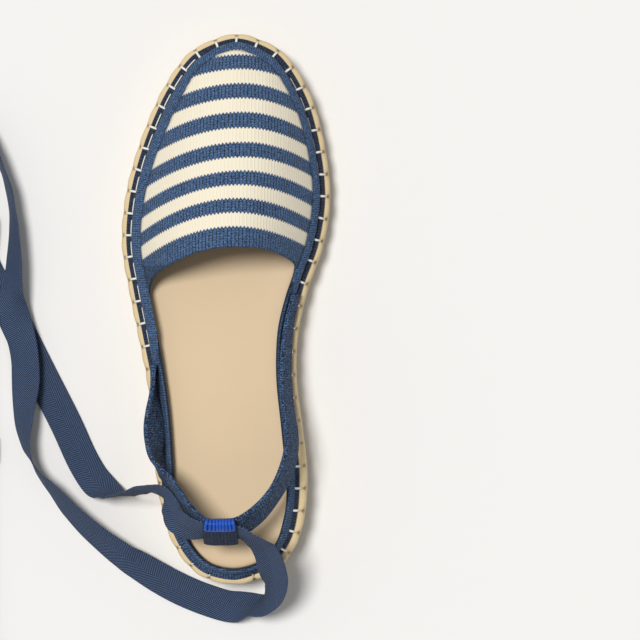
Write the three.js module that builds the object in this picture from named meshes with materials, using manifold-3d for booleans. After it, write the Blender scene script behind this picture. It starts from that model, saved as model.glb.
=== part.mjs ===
// Slingback espadrille, left shoe, with ribbon ankle ties.
//
// Millimetres. +Z is up, +Y points to the toe and +X to the inner (medial) side of the foot.
// The origin is on the floor, under the middle of the shoe.
//
// The sole's outline is one closed curve, and every other form is worked out from it: the
// insole and the upper's feather line are insets of that outline, and the upper is a dome
// raised on its inset, hollowed by a smaller dome and opened by the foot's opening.

import * as THREE from 'three';
import Module from 'manifold-3d';
import { mergeVertices } from 'three/addons/utils/BufferGeometryUtils.js';

const wasm = await Module();
wasm.setup();

const GAP = 0.3;

// ---- Sole ----

// The sole seen from above: its edges on the outer (lateral) and inner (medial) side.
const TOE_TIP = { x: 5.4, y: 129 };
const HEEL_TIP = { x: 4.5, y: -129 };
const SOLE_SECTIONS = [
  { y: 122.5, lateral: -14.0, medial: 24.3 },
  { y: 117, lateral: -20.3, medial: 30.2 },
  { y: 106, lateral: -28.0, medial: 37.2 },
  { y: 95, lateral: -33.8, medial: 42.0 },
  { y: 74, lateral: -42.0, medial: 47.0 },
  { y: 52, lateral: -47.5, medial: 49.0 },
  { y: 30, lateral: -49.0, medial: 45.8 },
  { y: 9, lateral: -45.6, medial: 38.5 },
  { y: -13, lateral: -41.0, medial: 33.8 },
  { y: -34, lateral: -36.8, medial: 33.3 },
  { y: -56, lateral: -34.0, medial: 36.0 },
  { y: -78, lateral: -32.4, medial: 38.3 },
  { y: -99, lateral: -28.6, medial: 36.8 },
  { y: -110, lateral: -24.4, medial: 33.4 },
  { y: -120, lateral: -17.6, medial: 26.6 },
  { y: -126, lateral: -9.6, medial: 17.6 },
];

const BALL_THICKNESS = 15;
const HEEL_THICKNESS = 22;
const WEDGE = { from: 35, to: -70 };
const TOE_SPRING = { from: 72, lift: 7 };
const DECK_SPRING = { from: 60, lift: 6 };
const ARCH = { from: 15, to: -52, lift: 1.4 };
const HEEL_ROUND = { from: -112, lift: 1.2 };

// Rings of the sole's edge, from the tread up: inset from the outline, and height above the
// tread or below the deck.
const SOLE_EDGE = [
  { inset: 2.6, aboveTread: 0 },
  { inset: 0.9, aboveTread: 0.9 },
  { inset: 0.0, aboveTread: 3.2 },
  { inset: 0.0, belowDeck: 3.4 },
  { inset: 0.6, belowDeck: 1.1 },
  { inset: 1.8, belowDeck: 0 },
];

// ---- Upper and insole ----

const RAND_INSET = 3.1;
const RAND_HEIGHT = 2;
const FEATHER_INSET = 5.2;
const FOOT_WALL = 1.5;
const WALL = 1.8;
// The dome's wall starts this far up inside the turned-out edge.
const WALL_START = 0.6;
const INSOLE = { inset: 8.6, thickness: 3, cup: 1 };

// Height of the upper's crown over the deck, along the foot.
// ridge is how far the crown's ridge lies to the medial side of the sole's middle.
const CROWN = [
  { y: 47, height: 41, ridge: 6 },
  { y: 30, height: 44, ridge: 6 },
  { y: -10, height: 42, ridge: 3 },
  { y: -73, height: 40, ridge: 0 },
];
// The crown fans out round these two pivots at the toe and the heel.
const TOE_PIVOT = 47;
const HEEL_PIVOT = -73;
const SIDE_ARCH = { p: 2.0, q: 1.15 };
const TOE_ARCH = { p: 1.4, q: 1.8 };

// The foot's opening seen from above: the throat, the collar's sides and the heel rim.
const OPENING = [
  { x: 8.8, y: 29.2 },
  { x: -2.2, y: 28.6 },
  { x: -13.5, y: 26 },
  { x: -25, y: 21 },
  { x: -33, y: 16 },
  { x: -36.1, y: 10.5 },
  { x: -36.2, y: 3.5 },
  { x: -33.6, y: -9 },
  { x: -31.6, y: -19 },
  { x: -29.6, y: -31 },
  { x: -28, y: -42 },
  { x: -26.6, y: -55 },
  { x: -25.2, y: -75 },
  { x: -23.6, y: -90 },
  { x: -20.6, y: -102 },
  { x: -15.8, y: -112 },
  { x: -7.4, y: -119.8 },
  { x: 4.6, y: -122.4 },
  { x: 16.6, y: -119.4 },
  { x: 25.4, y: -109.6 },
  { x: 29, y: -99 },
  { x: 30.6, y: -89 },
  { x: 30.4, y: -78 },
  { x: 28.2, y: -55 },
  { x: 26, y: -34 },
  { x: 25.8, y: -20 },
  { x: 26.8, y: -8 },
  { x: 30.2, y: 6 },
  { x: 33.6, y: 16.5 },
  { x: 33.8, y: 21 },
  { x: 26.8, y: 25.8 },
  { x: 19.6, y: 28.1 },
];
const OPENING_STEPS = 110;

// The roll of knit sewn round the foot of the vamp, from the outer strap seam round the toe
// to the inner one.
const PIPING = {
  lateralEnd: -24,
  medialEnd: 10,
  low: 0.6,
  lateralWidth: 4.6,
  medialWidth: 2.6,
  toeWidth: 3.1,
  toeFrom: 85,
  toeTo: 115,
  skin: 0.3,
  bulge: 1.1,
};
const PIPING_STEP = 4.6;
const PIPING_ACROSS = 6;

// ---- Slingback strap ----

// The strap's upper and lower edges from the outer seam, round the heel, to the inner seam.
const STRAP = [
  { top: [-32.4, -26, 31.5], low: [-34.1, -26, 22.9] },
  { top: [-33.4, -38, 35], low: [-33, -38, 25] },
  { top: [-35.2, -46, 39], low: [-30.6, -46, 27.3] },
  { top: [-36.2, -54, 42.5], low: [-29.2, -54.5, 29.7] },
  { top: [-35.4, -61, 46], low: [-29, -62.5, 32.4] },
  { top: [-33, -68, 50], low: [-29.8, -70.5, 35.4] },
  { top: [-28.2, -73, 53.5], low: [-29.4, -76, 38] },
  { top: [-24.2, -76, 56], low: [-26.4, -80, 41] },
  { top: [-19.1, -82.4, 59], low: [-21.2, -86.6, 44] },
  { top: [-14.2, -88.8, 61.5], low: [-15.8, -94.4, 46.6] },
  { top: [-7.2, -95.2, 63.4], low: [-7.6, -103.8, 49] },
  { top: [0, -95.7, 64], low: [0, -104.6, 49.6] },
  { top: [6.8, -95.1, 63.4], low: [7.4, -103.9, 49.2] },
  { top: [15.3, -89.7, 61.5], low: [17, -97.8, 47] },
  { top: [22.8, -81.2, 58], low: [24.2, -89.2, 43.5] },
  { top: [27.4, -70.5, 53.5], low: [30.6, -78.2, 39.5] },
  { top: [29.2, -61.6, 49.3], low: [33.4, -68, 35.5] },
  { top: [28.8, -54, 45.5], low: [33.6, -58, 31.5] },
  { top: [27.4, -44, 41], low: [31.8, -47, 28.3] },
  { top: [26.6, -34, 36.8], low: [30.5, -35, 25.5] },
  { top: [26.8, -22, 32.8], low: [30.3, -22, 23.2] },
  { top: [28.3, -8, 29.8], low: [31.2, -8, 21.4] },
  { top: [32.0, 7, 27.6], low: [34.2, 7, 19.9] },
];
const STRAP_THICKNESS = 2.2;
const STRAP_STEPS = 66;

// The flat tunnel sewn on the strap's outer face at the heel, which the ribbon runs through.
const LOOP = { middle: 10.9, halfWidth: 5.6, above: 1.3, below: 1.0, clear: 1.9, plate: 0.9, lip: 0.9 };
const LOOP_STEPS = 8;

// ---- Ribbon ties ----

const TIE_WIDTH = 15;
const TIE_THICKNESS = 0.8;
const TIE_STEPS = 76;

// Routes of the two ends of the ribbon, from the middle of the tunnel. lift is the height of
// the ribbon's lower edge, and turn its roll in degrees: 0 and 180 lie flat, 90 is on edge.
const OUTER_ROUTE = [
  { x: -0.9, y: -102.2, lift: 51.7, turn: 58 },
  { x: -5, y: -102.2, lift: 51.6, turn: 58 },
  { x: -9.2, y: -100.9, lift: 51.1, turn: 57 },
  { x: -15.4, y: -99.6, lift: 50, turn: 42 },
  { x: -21.2, y: -96.6, lift: 46, turn: 38 },
  { x: -25, y: -90.4, lift: 40, turn: 50 },
  { x: -27.6, y: -86, lift: 35.6, turn: 66 },
  { x: -31, y: -84.4, lift: 32.4, turn: 72 },
  { x: -36, y: -84, lift: 28.6, turn: 73 },
  { x: -42.5, y: -85.7, lift: 19.6, turn: 73 },
  { x: -48.6, y: -87.4, lift: 10.6, turn: 80 },
  { x: -53, y: -87.6, lift: 4.8, turn: 105 },
  { x: -57, y: -85.8, lift: 1.7, turn: 140 },
  { x: -62.3, y: -81.4, lift: 0.9, turn: 170 },
  { x: -68, y: -72.6, lift: 0.8, turn: 180 },
  { x: -76.3, y: -54.6, lift: 0.8, turn: 180 },
  { x: -88.6, y: -30.3, lift: 0.8, turn: 180 },
  { x: -96, y: -15.4, lift: 0.8, turn: 180 },
  { x: -103, y: -0.8, lift: 0.8, turn: 180 },
  { x: -108.8, y: 9.8, lift: 0.9, turn: 180 },
];
const INNER_ROUTE = [
  { x: -0.3, y: -102.2, lift: 51.7, turn: -58 },
  { x: 3.6, y: -102.2, lift: 51.6, turn: -58 },
  { x: 7.6, y: -102.7, lift: 51, turn: -59 },
  { x: 11.8, y: -104.3, lift: 48.8, turn: -70 },
  { x: 15.3, y: -106.4, lift: 46, turn: -62 },
  { x: 18.5, y: -109.4, lift: 43.2, turn: -47 },
  { x: 20.8, y: -113.8, lift: 40, turn: -37 },
  { x: 22.3, y: -119.2, lift: 36.5, turn: -30 },
  { x: 23.1, y: -125.2, lift: 31.5, turn: -28 },
  { x: 22.2, y: -131, lift: 23.7, turn: -35 },
  { x: 19.6, y: -135.6, lift: 14.3, turn: -50 },
  { x: 15.5, y: -139.2, lift: 4.9, turn: -65 },
  { x: 9.3, y: -140.4, lift: 1.2, turn: -40 },
  { x: 1.5, y: -141, lift: 0.9, turn: -6 },
  { x: -9.4, y: -138, lift: 0.8, turn: 0 },
  { x: -20.3, y: -133.6, lift: 0.8, turn: 3 },
  { x: -30.1, y: -128.5, lift: 0.8, turn: 8 },
  { x: -43.1, y: -120.5, lift: 0.8, turn: 22 },
  { x: -49, y: -116.7, lift: 0.8, turn: 33 },
  { x: -62.9, y: -105.8, lift: 0.8, turn: 46 },
  { x: -73.9, y: -95.1, lift: 0.8, turn: 56 },
  { x: -82.7, y: -84.4, lift: 0.8, turn: 68 },
  { x: -88.5, y: -78, lift: 0.8, turn: 79 },
  { x: -91.8, y: -71.9, lift: 0.8, turn: 83 },
  { x: -94.7, y: -64.4, lift: 0.8, turn: 70 },
  { x: -95.8, y: -51.9, lift: 0.9, turn: 49 },
  { x: -95.1, y: -34, lift: 1.6, turn: 25 },
  { x: -95.3, y: -24.8, lift: 2.2, turn: 25 },
  { x: -96.6, y: -16, lift: 2.4, turn: 22 },
  { x: -99.3, y: -6.8, lift: 2.4, turn: 12 },
  { x: -101.3, y: 2.1, lift: 2.4, turn: 22 },
  { x: -100.9, y: 11.2, lift: 2.4, turn: 46 },
  { x: -100.3, y: 20.1, lift: 2.2, turn: 55 },
  { x: -100.3, y: 38.3, lift: 1.2, turn: 68 },
  { x: -101.1, y: 47, lift: 0.8, turn: 74 },
  { x: -102.7, y: 56.3, lift: 0.8, turn: 74 },
  { x: -105.4, y: 65.2, lift: 0.8, turn: 78 },
  { x: -109.4, y: 74, lift: 0.8, turn: 72 },
  { x: -116, y: 83, lift: 0.8, turn: 52 },
  { x: -126, y: 91, lift: 0.9, turn: 25 },
  { x: -134, y: 95, lift: 1.2, turn: 6 },
  { x: -141.4, y: 97.6, lift: 1.8, turn: 0 },
];

// Each tie's spare length is folded into a flat hank, held by a knit band round its middle.
const HANK = { width: 30, height: 7, floor: 1.4 };
const OUTER_HANK = { x: -124.3, from: -180, to: 47 };
const INNER_HANK = { x: -160, from: -111, to: 116 };
const BAND = { length: 12, thickness: 1 };

// ---- Small helpers ----

function smooth(t) {
  const s = Math.min(Math.max(t, 0), 1);
  return s * s * (3 - 2 * s);
}

function mix(a, b, t) {
  return a + (b - a) * t;
}

// Straight interpolation between the rows of a table whose y falls from row to row.
function alongFoot(rows, column, y) {
  if (y >= rows[0].y) return rows[0][column];
  const next = rows.findIndex((row) => row.y <= y);
  if (next < 0) return rows[rows.length - 1][column];
  const high = rows[next - 1];
  const low = rows[next];
  return mix(low[column], high[column], (y - low.y) / (high.y - low.y));
}

// A closed geometry from triangles whose shared corners are the same objects.
function closedGeometry(triangles) {
  const order = new Map();
  const positions = [];
  const indices = [];
  for (const [a, b, c] of triangles) {
    if (a === b || b === c || c === a) continue;
    for (const corner of [a, b, c]) {
      if (!order.has(corner)) {
        order.set(corner, order.size);
        positions.push(corner.x, corner.y, corner.z);
      }
      indices.push(order.get(corner));
    }
  }
  const geometry = new THREE.BufferGeometry();
  geometry.setAttribute('position', new THREE.Float32BufferAttribute(positions, 3));
  geometry.setIndex(indices);
  return geometry;
}

function quad(triangles, a, b, c, d) {
  triangles.push([a, b, c], [a, c, d]);
}

// Quads between two loops of the same count.
function joinLoops(triangles, lower, upper) {
  for (let i = 0; i < lower.length; i += 1) {
    const j = (i + 1) % lower.length;
    quad(triangles, lower[i], lower[j], upper[j], upper[i]);
  }
}

function capLoop(triangles, loop) {
  for (let i = 1; i < loop.length - 1; i += 1) {
    triangles.push([loop[0], loop[i], loop[i + 1]]);
  }
}

function toManifold(geometry) {
  const bare = geometry.clone();
  bare.deleteAttribute('normal');
  bare.deleteAttribute('uv');
  const merged = mergeVertices(bare, 1e-5);
  return new wasm.Manifold(new wasm.Mesh({
    numProp: 3,
    vertProperties: new Float32Array(merged.attributes.position.array),
    triVerts: new Uint32Array(merged.index.array),
  }));
}

function fromManifold(solid) {
  const mesh = solid.getMesh();
  const geometry = new THREE.BufferGeometry();
  geometry.setAttribute('position', new THREE.Float32BufferAttribute(mesh.vertProperties, 3));
  geometry.setIndex(Array.from(mesh.triVerts));
  return geometry;
}

// ---- The sole's outline and the heights along it ----

const OUTLINE_SAMPLES = 1600;
const ROWS = 32;
const DECK_COLUMNS = 4;
const INSOLE_COLUMNS = 8;
const DOME_COLUMNS = 12;

function outlineCurve() {
  const points = [new THREE.Vector3(TOE_TIP.x, TOE_TIP.y, 0)];
  for (const row of SOLE_SECTIONS) {
    points.push(new THREE.Vector3(row.medial, row.y, 0));
  }
  points.push(new THREE.Vector3(HEEL_TIP.x, HEEL_TIP.y, 0));
  for (const row of [...SOLE_SECTIONS].reverse()) {
    points.push(new THREE.Vector3(row.lateral, row.y, 0));
  }
  return new THREE.CatmullRomCurve3(points, true, 'centripetal');
}

const outline = outlineCurve().getPoints(OUTLINE_SAMPLES).slice(0, OUTLINE_SAMPLES);
const toeIndex = outline.reduce((best, p, i) => (p.y > outline[best].y ? i : best), 0);
const heelIndex = outline.reduce((best, p, i) => (p.y < outline[best].y ? i : best), 0);

// The outline's point at a height y on one side, with its inward normal.
function edgePoint(y, side) {
  const step = side === 'medial' ? 1 : -1;
  const size = outline.length;
  let i = toeIndex;
  while (i !== heelIndex && outline[(i + step + size) % size].y > y) {
    i = (i + step + size) % size;
  }
  const a = outline[i];
  const b = outline[(i + step + size) % size];
  const t = a.y === b.y ? 0 : THREE.MathUtils.clamp((a.y - y) / (a.y - b.y), 0, 1);
  const tangent = new THREE.Vector3().subVectors(b, a).normalize();
  return {
    x: mix(a.x, b.x, t),
    y: mix(a.y, b.y, t),
    inX: tangent.y * step,
    inY: -tangent.x * step,
  };
}

const TOP = outline[toeIndex];
const BOTTOM = outline[heelIndex];

// Pairs of edge points, closer together at the toe and the heel.
const edgePairs = Array.from({ length: ROWS - 1 }, (_, k) => {
  const angle = (Math.PI * (k + 1)) / ROWS;
  const y = mix(BOTTOM.y, TOP.y, (1 + Math.cos(angle)) / 2);
  return { medial: edgePoint(y, 'medial'), lateral: edgePoint(y, 'lateral') };
});

// The outline inset by a distance: a row for the toe's tip, each pair and the heel's tip.
function insetRows(inset) {
  const move = (p) => ({ x: p.x + p.inX * inset, y: p.y + p.inY * inset });
  return [
    { single: { x: TOP.x, y: TOP.y - inset } },
    ...edgePairs.map((pair) => ({ medial: move(pair.medial), lateral: move(pair.lateral) })),
    { single: { x: BOTTOM.x, y: BOTTOM.y + inset } },
  ];
}

function insetLoop(inset) {
  const rows = insetRows(inset);
  const pairs = rows.slice(1, -1);
  return [
    rows[0].single,
    ...pairs.map((row) => row.medial),
    rows[rows.length - 1].single,
    ...pairs.map((row) => row.lateral).reverse(),
  ];
}

function treadHeight(y) {
  const toe = Math.max(y - TOE_SPRING.from, 0) / (TOP.y - TOE_SPRING.from);
  const heel = Math.max(HEEL_ROUND.from - y, 0) / (HEEL_ROUND.from - BOTTOM.y);
  const inArch = THREE.MathUtils.clamp((ARCH.from - y) / (ARCH.from - ARCH.to), 0, 1);
  const arch = ARCH.lift * Math.sin(Math.PI * inArch) ** 2;
  return TOE_SPRING.lift * toe ** 2 + HEEL_ROUND.lift * heel ** 2 + arch;
}

function deckHeight(y) {
  const rise = smooth((WEDGE.from - y) / (WEDGE.from - WEDGE.to));
  const toe = Math.max(y - DECK_SPRING.from, 0) / (TOP.y - DECK_SPRING.from);
  return mix(BALL_THICKNESS, HEEL_THICKNESS, rise) + DECK_SPRING.lift * toe ** 1.8;
}

function point(place, z) {
  return new THREE.Vector3(place.x, place.y, z);
}

// A surface over the inset outline: rows across the foot, each from the lateral to the medial
// edge, closer together at the edges. Its border comes back as a loop.
function surface(inset, columns, heightAt) {
  const grid = insetRows(inset).map((row) => {
    if (row.single) {
      const tip = point(row.single, heightAt(row.single.x, row.single.y));
      return Array(columns + 1).fill(tip);
    }
    return Array.from({ length: columns + 1 }, (_, m) => {
      const share = (1 - Math.cos((Math.PI * m) / columns)) / 2;
      const place = {
        x: mix(row.lateral.x, row.medial.x, share),
        y: mix(row.lateral.y, row.medial.y, share),
      };
      return point(place, heightAt(place.x, place.y));
    });
  });
  const inner = grid.slice(1, -1);
  const border = [
    grid[0][0],
    ...inner.map((row) => row[columns]),
    grid[grid.length - 1][0],
    ...inner.map((row) => row[0]).reverse(),
  ];
  return { grid, border };
}

function addSurface(triangles, grid, facing) {
  for (let k = 0; k < grid.length - 1; k += 1) {
    for (let m = 0; m < grid[k].length - 1; m += 1) {
      const corners = [grid[k][m], grid[k + 1][m], grid[k + 1][m + 1], grid[k][m + 1]];
      if (facing === 'down') corners.reverse();
      quad(triangles, ...corners);
    }
  }
}

// A closed solid between a lower surface and an upper one, with rings between their borders.
function stackedSolid(lower, rings, upper) {
  const triangles = [];
  addSurface(triangles, lower.grid, 'down');
  addSurface(triangles, upper.grid, 'up');
  const loops = [lower.border, ...rings, upper.border];
  for (let i = 0; i < loops.length - 1; i += 1) {
    joinLoops(triangles, loops[i + 1], loops[i]);
  }
  return closedGeometry(triangles);
}

// ---- Sole and insole ----

function soleGeometry() {
  const lowest = SOLE_EDGE[0];
  const highest = SOLE_EDGE[SOLE_EDGE.length - 1];
  const rings = SOLE_EDGE.slice(1, -1).map((edge) => insetLoop(edge.inset).map((place) => {
    const z = edge.aboveTread === undefined
      ? deckHeight(place.y) - edge.belowDeck
      : treadHeight(place.y) + edge.aboveTread;
    return point(place, z);
  }));
  return stackedSolid(
    surface(lowest.inset, DECK_COLUMNS, (x, y) => treadHeight(y)),
    rings,
    surface(highest.inset, DECK_COLUMNS, (x, y) => deckHeight(y)),
  );
}

function insoleGeometry() {
  const cupped = (x, y) => {
    const { ratio } = domePlace(x, y, insetLoop(INSOLE.inset));
    return deckHeight(y) + GAP + INSOLE.thickness + INSOLE.cup * ratio ** 4;
  };
  return stackedSolid(
    surface(INSOLE.inset, INSOLE_COLUMNS, (x, y) => deckHeight(y) + GAP),
    [],
    surface(INSOLE.inset, INSOLE_COLUMNS, cupped),
  );
}

// ---- The last: a dome over the feather line ----

function ridgeAt(y) {
  const pair = { medial: edgePoint(y, 'medial'), lateral: edgePoint(y, 'lateral') };
  return (pair.medial.x + pair.lateral.x) / 2 + alongFoot(CROWN, 'ridge', y);
}

// Distance from a place to a loop, along a direction.
function reach(from, dx, dy, loop) {
  let far = 0;
  for (let i = 0; i < loop.length; i += 1) {
    const a = loop[i];
    const b = loop[(i + 1) % loop.length];
    const ex = b.x - a.x;
    const ey = b.y - a.y;
    const across = dx * ey - dy * ex;
    if (Math.abs(across) < 1e-9) continue;
    const ax = a.x - from.x;
    const ay = a.y - from.y;
    const along = (ax * ey - ay * ex) / across;
    const share = (ax * dy - ay * dx) / across;
    if (share > -1e-6 && share < 1 + 1e-6) far = Math.max(far, along);
  }
  return far;
}

// Where a place lies under the dome: its pivot, how far out it is (0 to 1) and how much its
// direction points to the toe or the heel.
function domePlace(x, y, loop) {
  const pivotY = THREE.MathUtils.clamp(y, HEEL_PIVOT, TOE_PIVOT);
  const pivot = { x: ridgeAt(pivotY), y: pivotY };
  const dx = x - pivot.x;
  const dy = y - pivot.y;
  const distance = Math.hypot(dx, dy);
  if (distance < 1e-6) return { pivot, ratio: 0, endwise: 0 };
  const far = reach(pivot, dx / distance, dy / distance, loop);
  return { pivot, ratio: Math.min(distance / far, 1), endwise: Math.abs(dy) / distance };
}

function archPowers(endwise) {
  const t = endwise ** 4;
  return { p: mix(SIDE_ARCH.p, TOE_ARCH.p, t), q: mix(SIDE_ARCH.q, TOE_ARCH.q, t) };
}

// The dome grown outward by a distance (or shrunk, where it is negative).
function domeHeight(grow, x, y, loop) {
  const { pivot, ratio, endwise } = domePlace(x, y, loop);
  const { p, q } = archPowers(endwise);
  const crown = alongFoot(CROWN, 'height', pivot.y) + grow;
  return deckHeight(y) + GAP + FOOT_WALL + crown * (1 - ratio ** p) ** (1 / q);
}

function domeSolid(grow, sinks) {
  const inset = FEATHER_INSET - grow;
  const loop = insetLoop(inset);
  return toManifold(stackedSolid(
    surface(inset, DOME_COLUMNS, (x, y) => deckHeight(y) + GAP - sinks),
    [],
    surface(inset, DOME_COLUMNS, (x, y) => domeHeight(grow, x, y, loop)),
  ));
}

// ---- Upper ----

function openingSolid() {
  const curve = new THREE.CatmullRomCurve3(
    OPENING.map((p) => new THREE.Vector3(p.x, p.y, 0)),
    true,
    'centripetal',
  );
  const rim = curve.getPoints(OPENING_STEPS).slice(0, OPENING_STEPS);
  const shape = new THREE.Shape(rim.map((p) => new THREE.Vector2(p.x, p.y)));
  return toManifold(new THREE.ExtrudeGeometry(shape, { depth: 90, bevelEnabled: false }));
}

// The upper's turned-out edge, stitched flat on the sole.
function randSolid(grow) {
  return toManifold(stackedSolid(
    surface(RAND_INSET - grow, DOME_COLUMNS, (x, y) => deckHeight(y) + GAP),
    [],
    surface(RAND_INSET - grow, DOME_COLUMNS, (x, y) => deckHeight(y) + GAP + RAND_HEIGHT + grow),
  ));
}

function upperGeometry() {
  const hollow = domeSolid(-WALL, 4);
  const wall = domeSolid(0, -WALL_START);
  return fromManifold(wall.add(randSolid(0)).subtract(hollow).subtract(openingSolid()));
}

// The vamp's surface above a border place, at a height over the foot wall.
function wallPlace(place, height, loop) {
  const { pivot, endwise } = domePlace(place.x, place.y, loop);
  const { p, q } = archPowers(endwise);
  const crown = alongFoot(CROWN, 'height', pivot.y);
  const ratio = (1 - (height / crown) ** q) ** (1 / p);
  const x = mix(pivot.x, place.x, ratio);
  const y = mix(pivot.y, place.y, ratio);
  return new THREE.Vector3(x, y, deckHeight(y) + GAP + FOOT_WALL + height);
}

// Places along the feather line from the piping's lateral end, round the toe, to its medial end.
function pipingPlaces() {
  const places = [];
  for (const side of ['lateral', 'medial']) {
    const stop = side === 'lateral' ? PIPING.lateralEnd : PIPING.medialEnd;
    const inset = (y) => {
      const edge = edgePoint(y, side);
      return { x: edge.x + edge.inX * FEATHER_INSET, y: edge.y + edge.inY * FEATHER_INSET };
    };
    const run = [];
    let last = null;
    for (let y = stop; y < TOP.y - 0.6; y += 0.25) {
      const place = inset(y);
      if (!last || Math.hypot(place.x - last.x, place.y - last.y) > PIPING_STEP) {
        run.push(place);
        last = place;
      }
    }
    places.push(side === 'lateral' ? run : run.reverse());
  }
  return places.flat();
}

// How high up the dome's wall the roll reaches, for its width as seen from above.
function pipingHeight(place, loop) {
  const { pivot, endwise } = domePlace(place.x, place.y, loop);
  const sideWidth = place.x > pivot.x ? PIPING.medialWidth : PIPING.lateralWidth;
  const toe = smooth((place.y - PIPING.toeFrom) / (PIPING.toeTo - PIPING.toeFrom));
  const width = mix(sideWidth, PIPING.toeWidth, toe);
  const far = Math.hypot(place.x - pivot.x, place.y - pivot.y);
  const { p, q } = archPowers(endwise);
  return alongFoot(CROWN, 'height', pivot.y) * (1 - (1 - width / far) ** p) ** (1 / q);
}

function pipingGeometry() {
  const loop = insetLoop(FEATHER_INSET);
  const across = PIPING_ACROSS;
  const sections = pipingPlaces().map((place) => {
    const high = pipingHeight(place, loop);
    const base = Array.from({ length: across + 1 }, (_, j) => (
      wallPlace(place, mix(PIPING.low, high, j / across), loop)
    ));
    const out = base.map((p, j) => {
      const up = new THREE.Vector3().subVectors(
        base[Math.min(j + 1, across)],
        base[Math.max(j - 1, 0)],
      );
      const flat = Math.hypot(up.x, up.y);
      return new THREE.Vector3((-up.x / flat) * up.z, (-up.y / flat) * up.z, flat).normalize();
    });
    const under = base.map((p, j) => p.clone().addScaledVector(out[j], -WALL / 2));
    const over = base.map((p, j) => {
      const swell = PIPING.skin + PIPING.bulge * Math.sin((Math.PI * j) / across);
      return p.clone().addScaledVector(out[j], GAP + swell);
    });
    return [...under, ...over.reverse()];
  });
  const roll = toManifold(sweptGeometry(sections));
  return fromManifold(roll.subtract(domeSolid(GAP, 0)).subtract(randSolid(GAP)));
}

// A closed solid through sections of the same count of corners.
function sweptGeometry(sections) {
  const triangles = [];
  for (let i = 0; i < sections.length - 1; i += 1) {
    joinLoops(triangles, sections[i], sections[i + 1]);
  }
  capLoop(triangles, [...sections[0]].reverse());
  capLoop(triangles, sections[sections.length - 1]);
  return outward(closedGeometry(triangles));
}

// Turns a closed geometry's faces out, if they face in.
function outward(geometry) {
  const index = geometry.index.array;
  const at = (i) => new THREE.Vector3().fromBufferAttribute(geometry.attributes.position, i);
  let volume = 0;
  for (let i = 0; i < index.length; i += 3) {
    const [a, b, c] = [at(index[i]), at(index[i + 1]), at(index[i + 2])];
    volume += a.dot(b.cross(c));
  }
  if (volume < 0) {
    geometry.setIndex(Array.from(index).reverse());
  }
  return geometry;
}

// ---- Strap and loop ----

const strapTop = new THREE.CatmullRomCurve3(
  STRAP.map((row) => new THREE.Vector3(...row.top)),
  false,
  'centripetal',
);
const strapLow = new THREE.CatmullRomCurve3(
  STRAP.map((row) => new THREE.Vector3(...row.low)),
  false,
  'centripetal',
);

// A point on the strap: t along it, v from its top edge (0) to its lower edge (1), and its
// distance out from the middle of the knit.
function strapPoint(t, v, out) {
  const top = strapTop.getPoint(t);
  const low = strapLow.getPoint(t);
  const across = new THREE.Vector3().subVectors(low, top);
  const a = Math.max(t - 0.005, 0);
  const b = Math.min(t + 0.005, 1);
  const along = strapTop.getPoint(b).add(strapLow.getPoint(b))
    .sub(strapTop.getPoint(a)).sub(strapLow.getPoint(a));
  const normal = new THREE.Vector3().crossVectors(across, along).normalize();
  return top.addScaledVector(across, v).addScaledVector(normal, out);
}

// A band that follows the strap: from t0 to t1, v0 to v1 and out0 to out1.
function strapBand(t0, t1, steps, v0, v1, out0, out1) {
  const rounded = Math.min(0.1, (v1 - v0) / 4);
  const middle = (out0 + out1) / 2;
  const sections = Array.from({ length: steps + 1 }, (_, i) => {
    const t = mix(t0, t1, i / steps);
    return [
      strapPoint(t, v0, middle),
      strapPoint(t, v0 + rounded, out1),
      strapPoint(t, v1 - rounded, out1),
      strapPoint(t, v1, middle),
      strapPoint(t, v1 - rounded, out0),
      strapPoint(t, v0 + rounded, out0),
    ];
  });
  return sweptGeometry(sections);
}

function strapGeometry() {
  const half = STRAP_THICKNESS / 2;
  return strapBand(0, 1, STRAP_STEPS, 0, 1, -half, half);
}

// A box that follows the strap, with square edges.
function strapBox(t0, t1, v0, v1, out0, out1) {
  const sections = Array.from({ length: LOOP_STEPS + 1 }, (_, i) => {
    const t = mix(t0, t1, i / LOOP_STEPS);
    return [
      strapPoint(t, v0, out0),
      strapPoint(t, v0, out1),
      strapPoint(t, v1, out1),
      strapPoint(t, v1, out0),
    ];
  });
  return toManifold(sweptGeometry(sections));
}

function loopGeometry() {
  const middle = LOOP.middle / (STRAP.length - 1);
  const sample = 0.01;
  const pace = strapTop.getPoint(middle).distanceTo(strapTop.getPoint(middle + sample)) / sample;
  const t0 = middle - LOOP.halfWidth / pace;
  const t1 = middle + LOOP.halfWidth / pace;
  const height = strapTop.getPoint(middle).distanceTo(strapLow.getPoint(middle));
  const v0 = -LOOP.above / height;
  const v1 = 1 + LOOP.below / height;
  const lip = LOOP.lip / height;
  const face = STRAP_THICKNESS / 2 + GAP;
  const outer = face + LOOP.clear + LOOP.plate;
  const plate = strapBox(t0, t1, v0, v1, face + LOOP.clear, outer);
  const upperLip = strapBox(t0, t1, v0, v0 + lip, face, outer);
  const lowerLip = strapBox(t0, t1, v1 - lip, v1, face, outer);
  return fromManifold(plate.add(upperLip).add(lowerLip));
}

// ---- Ties ----

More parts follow.
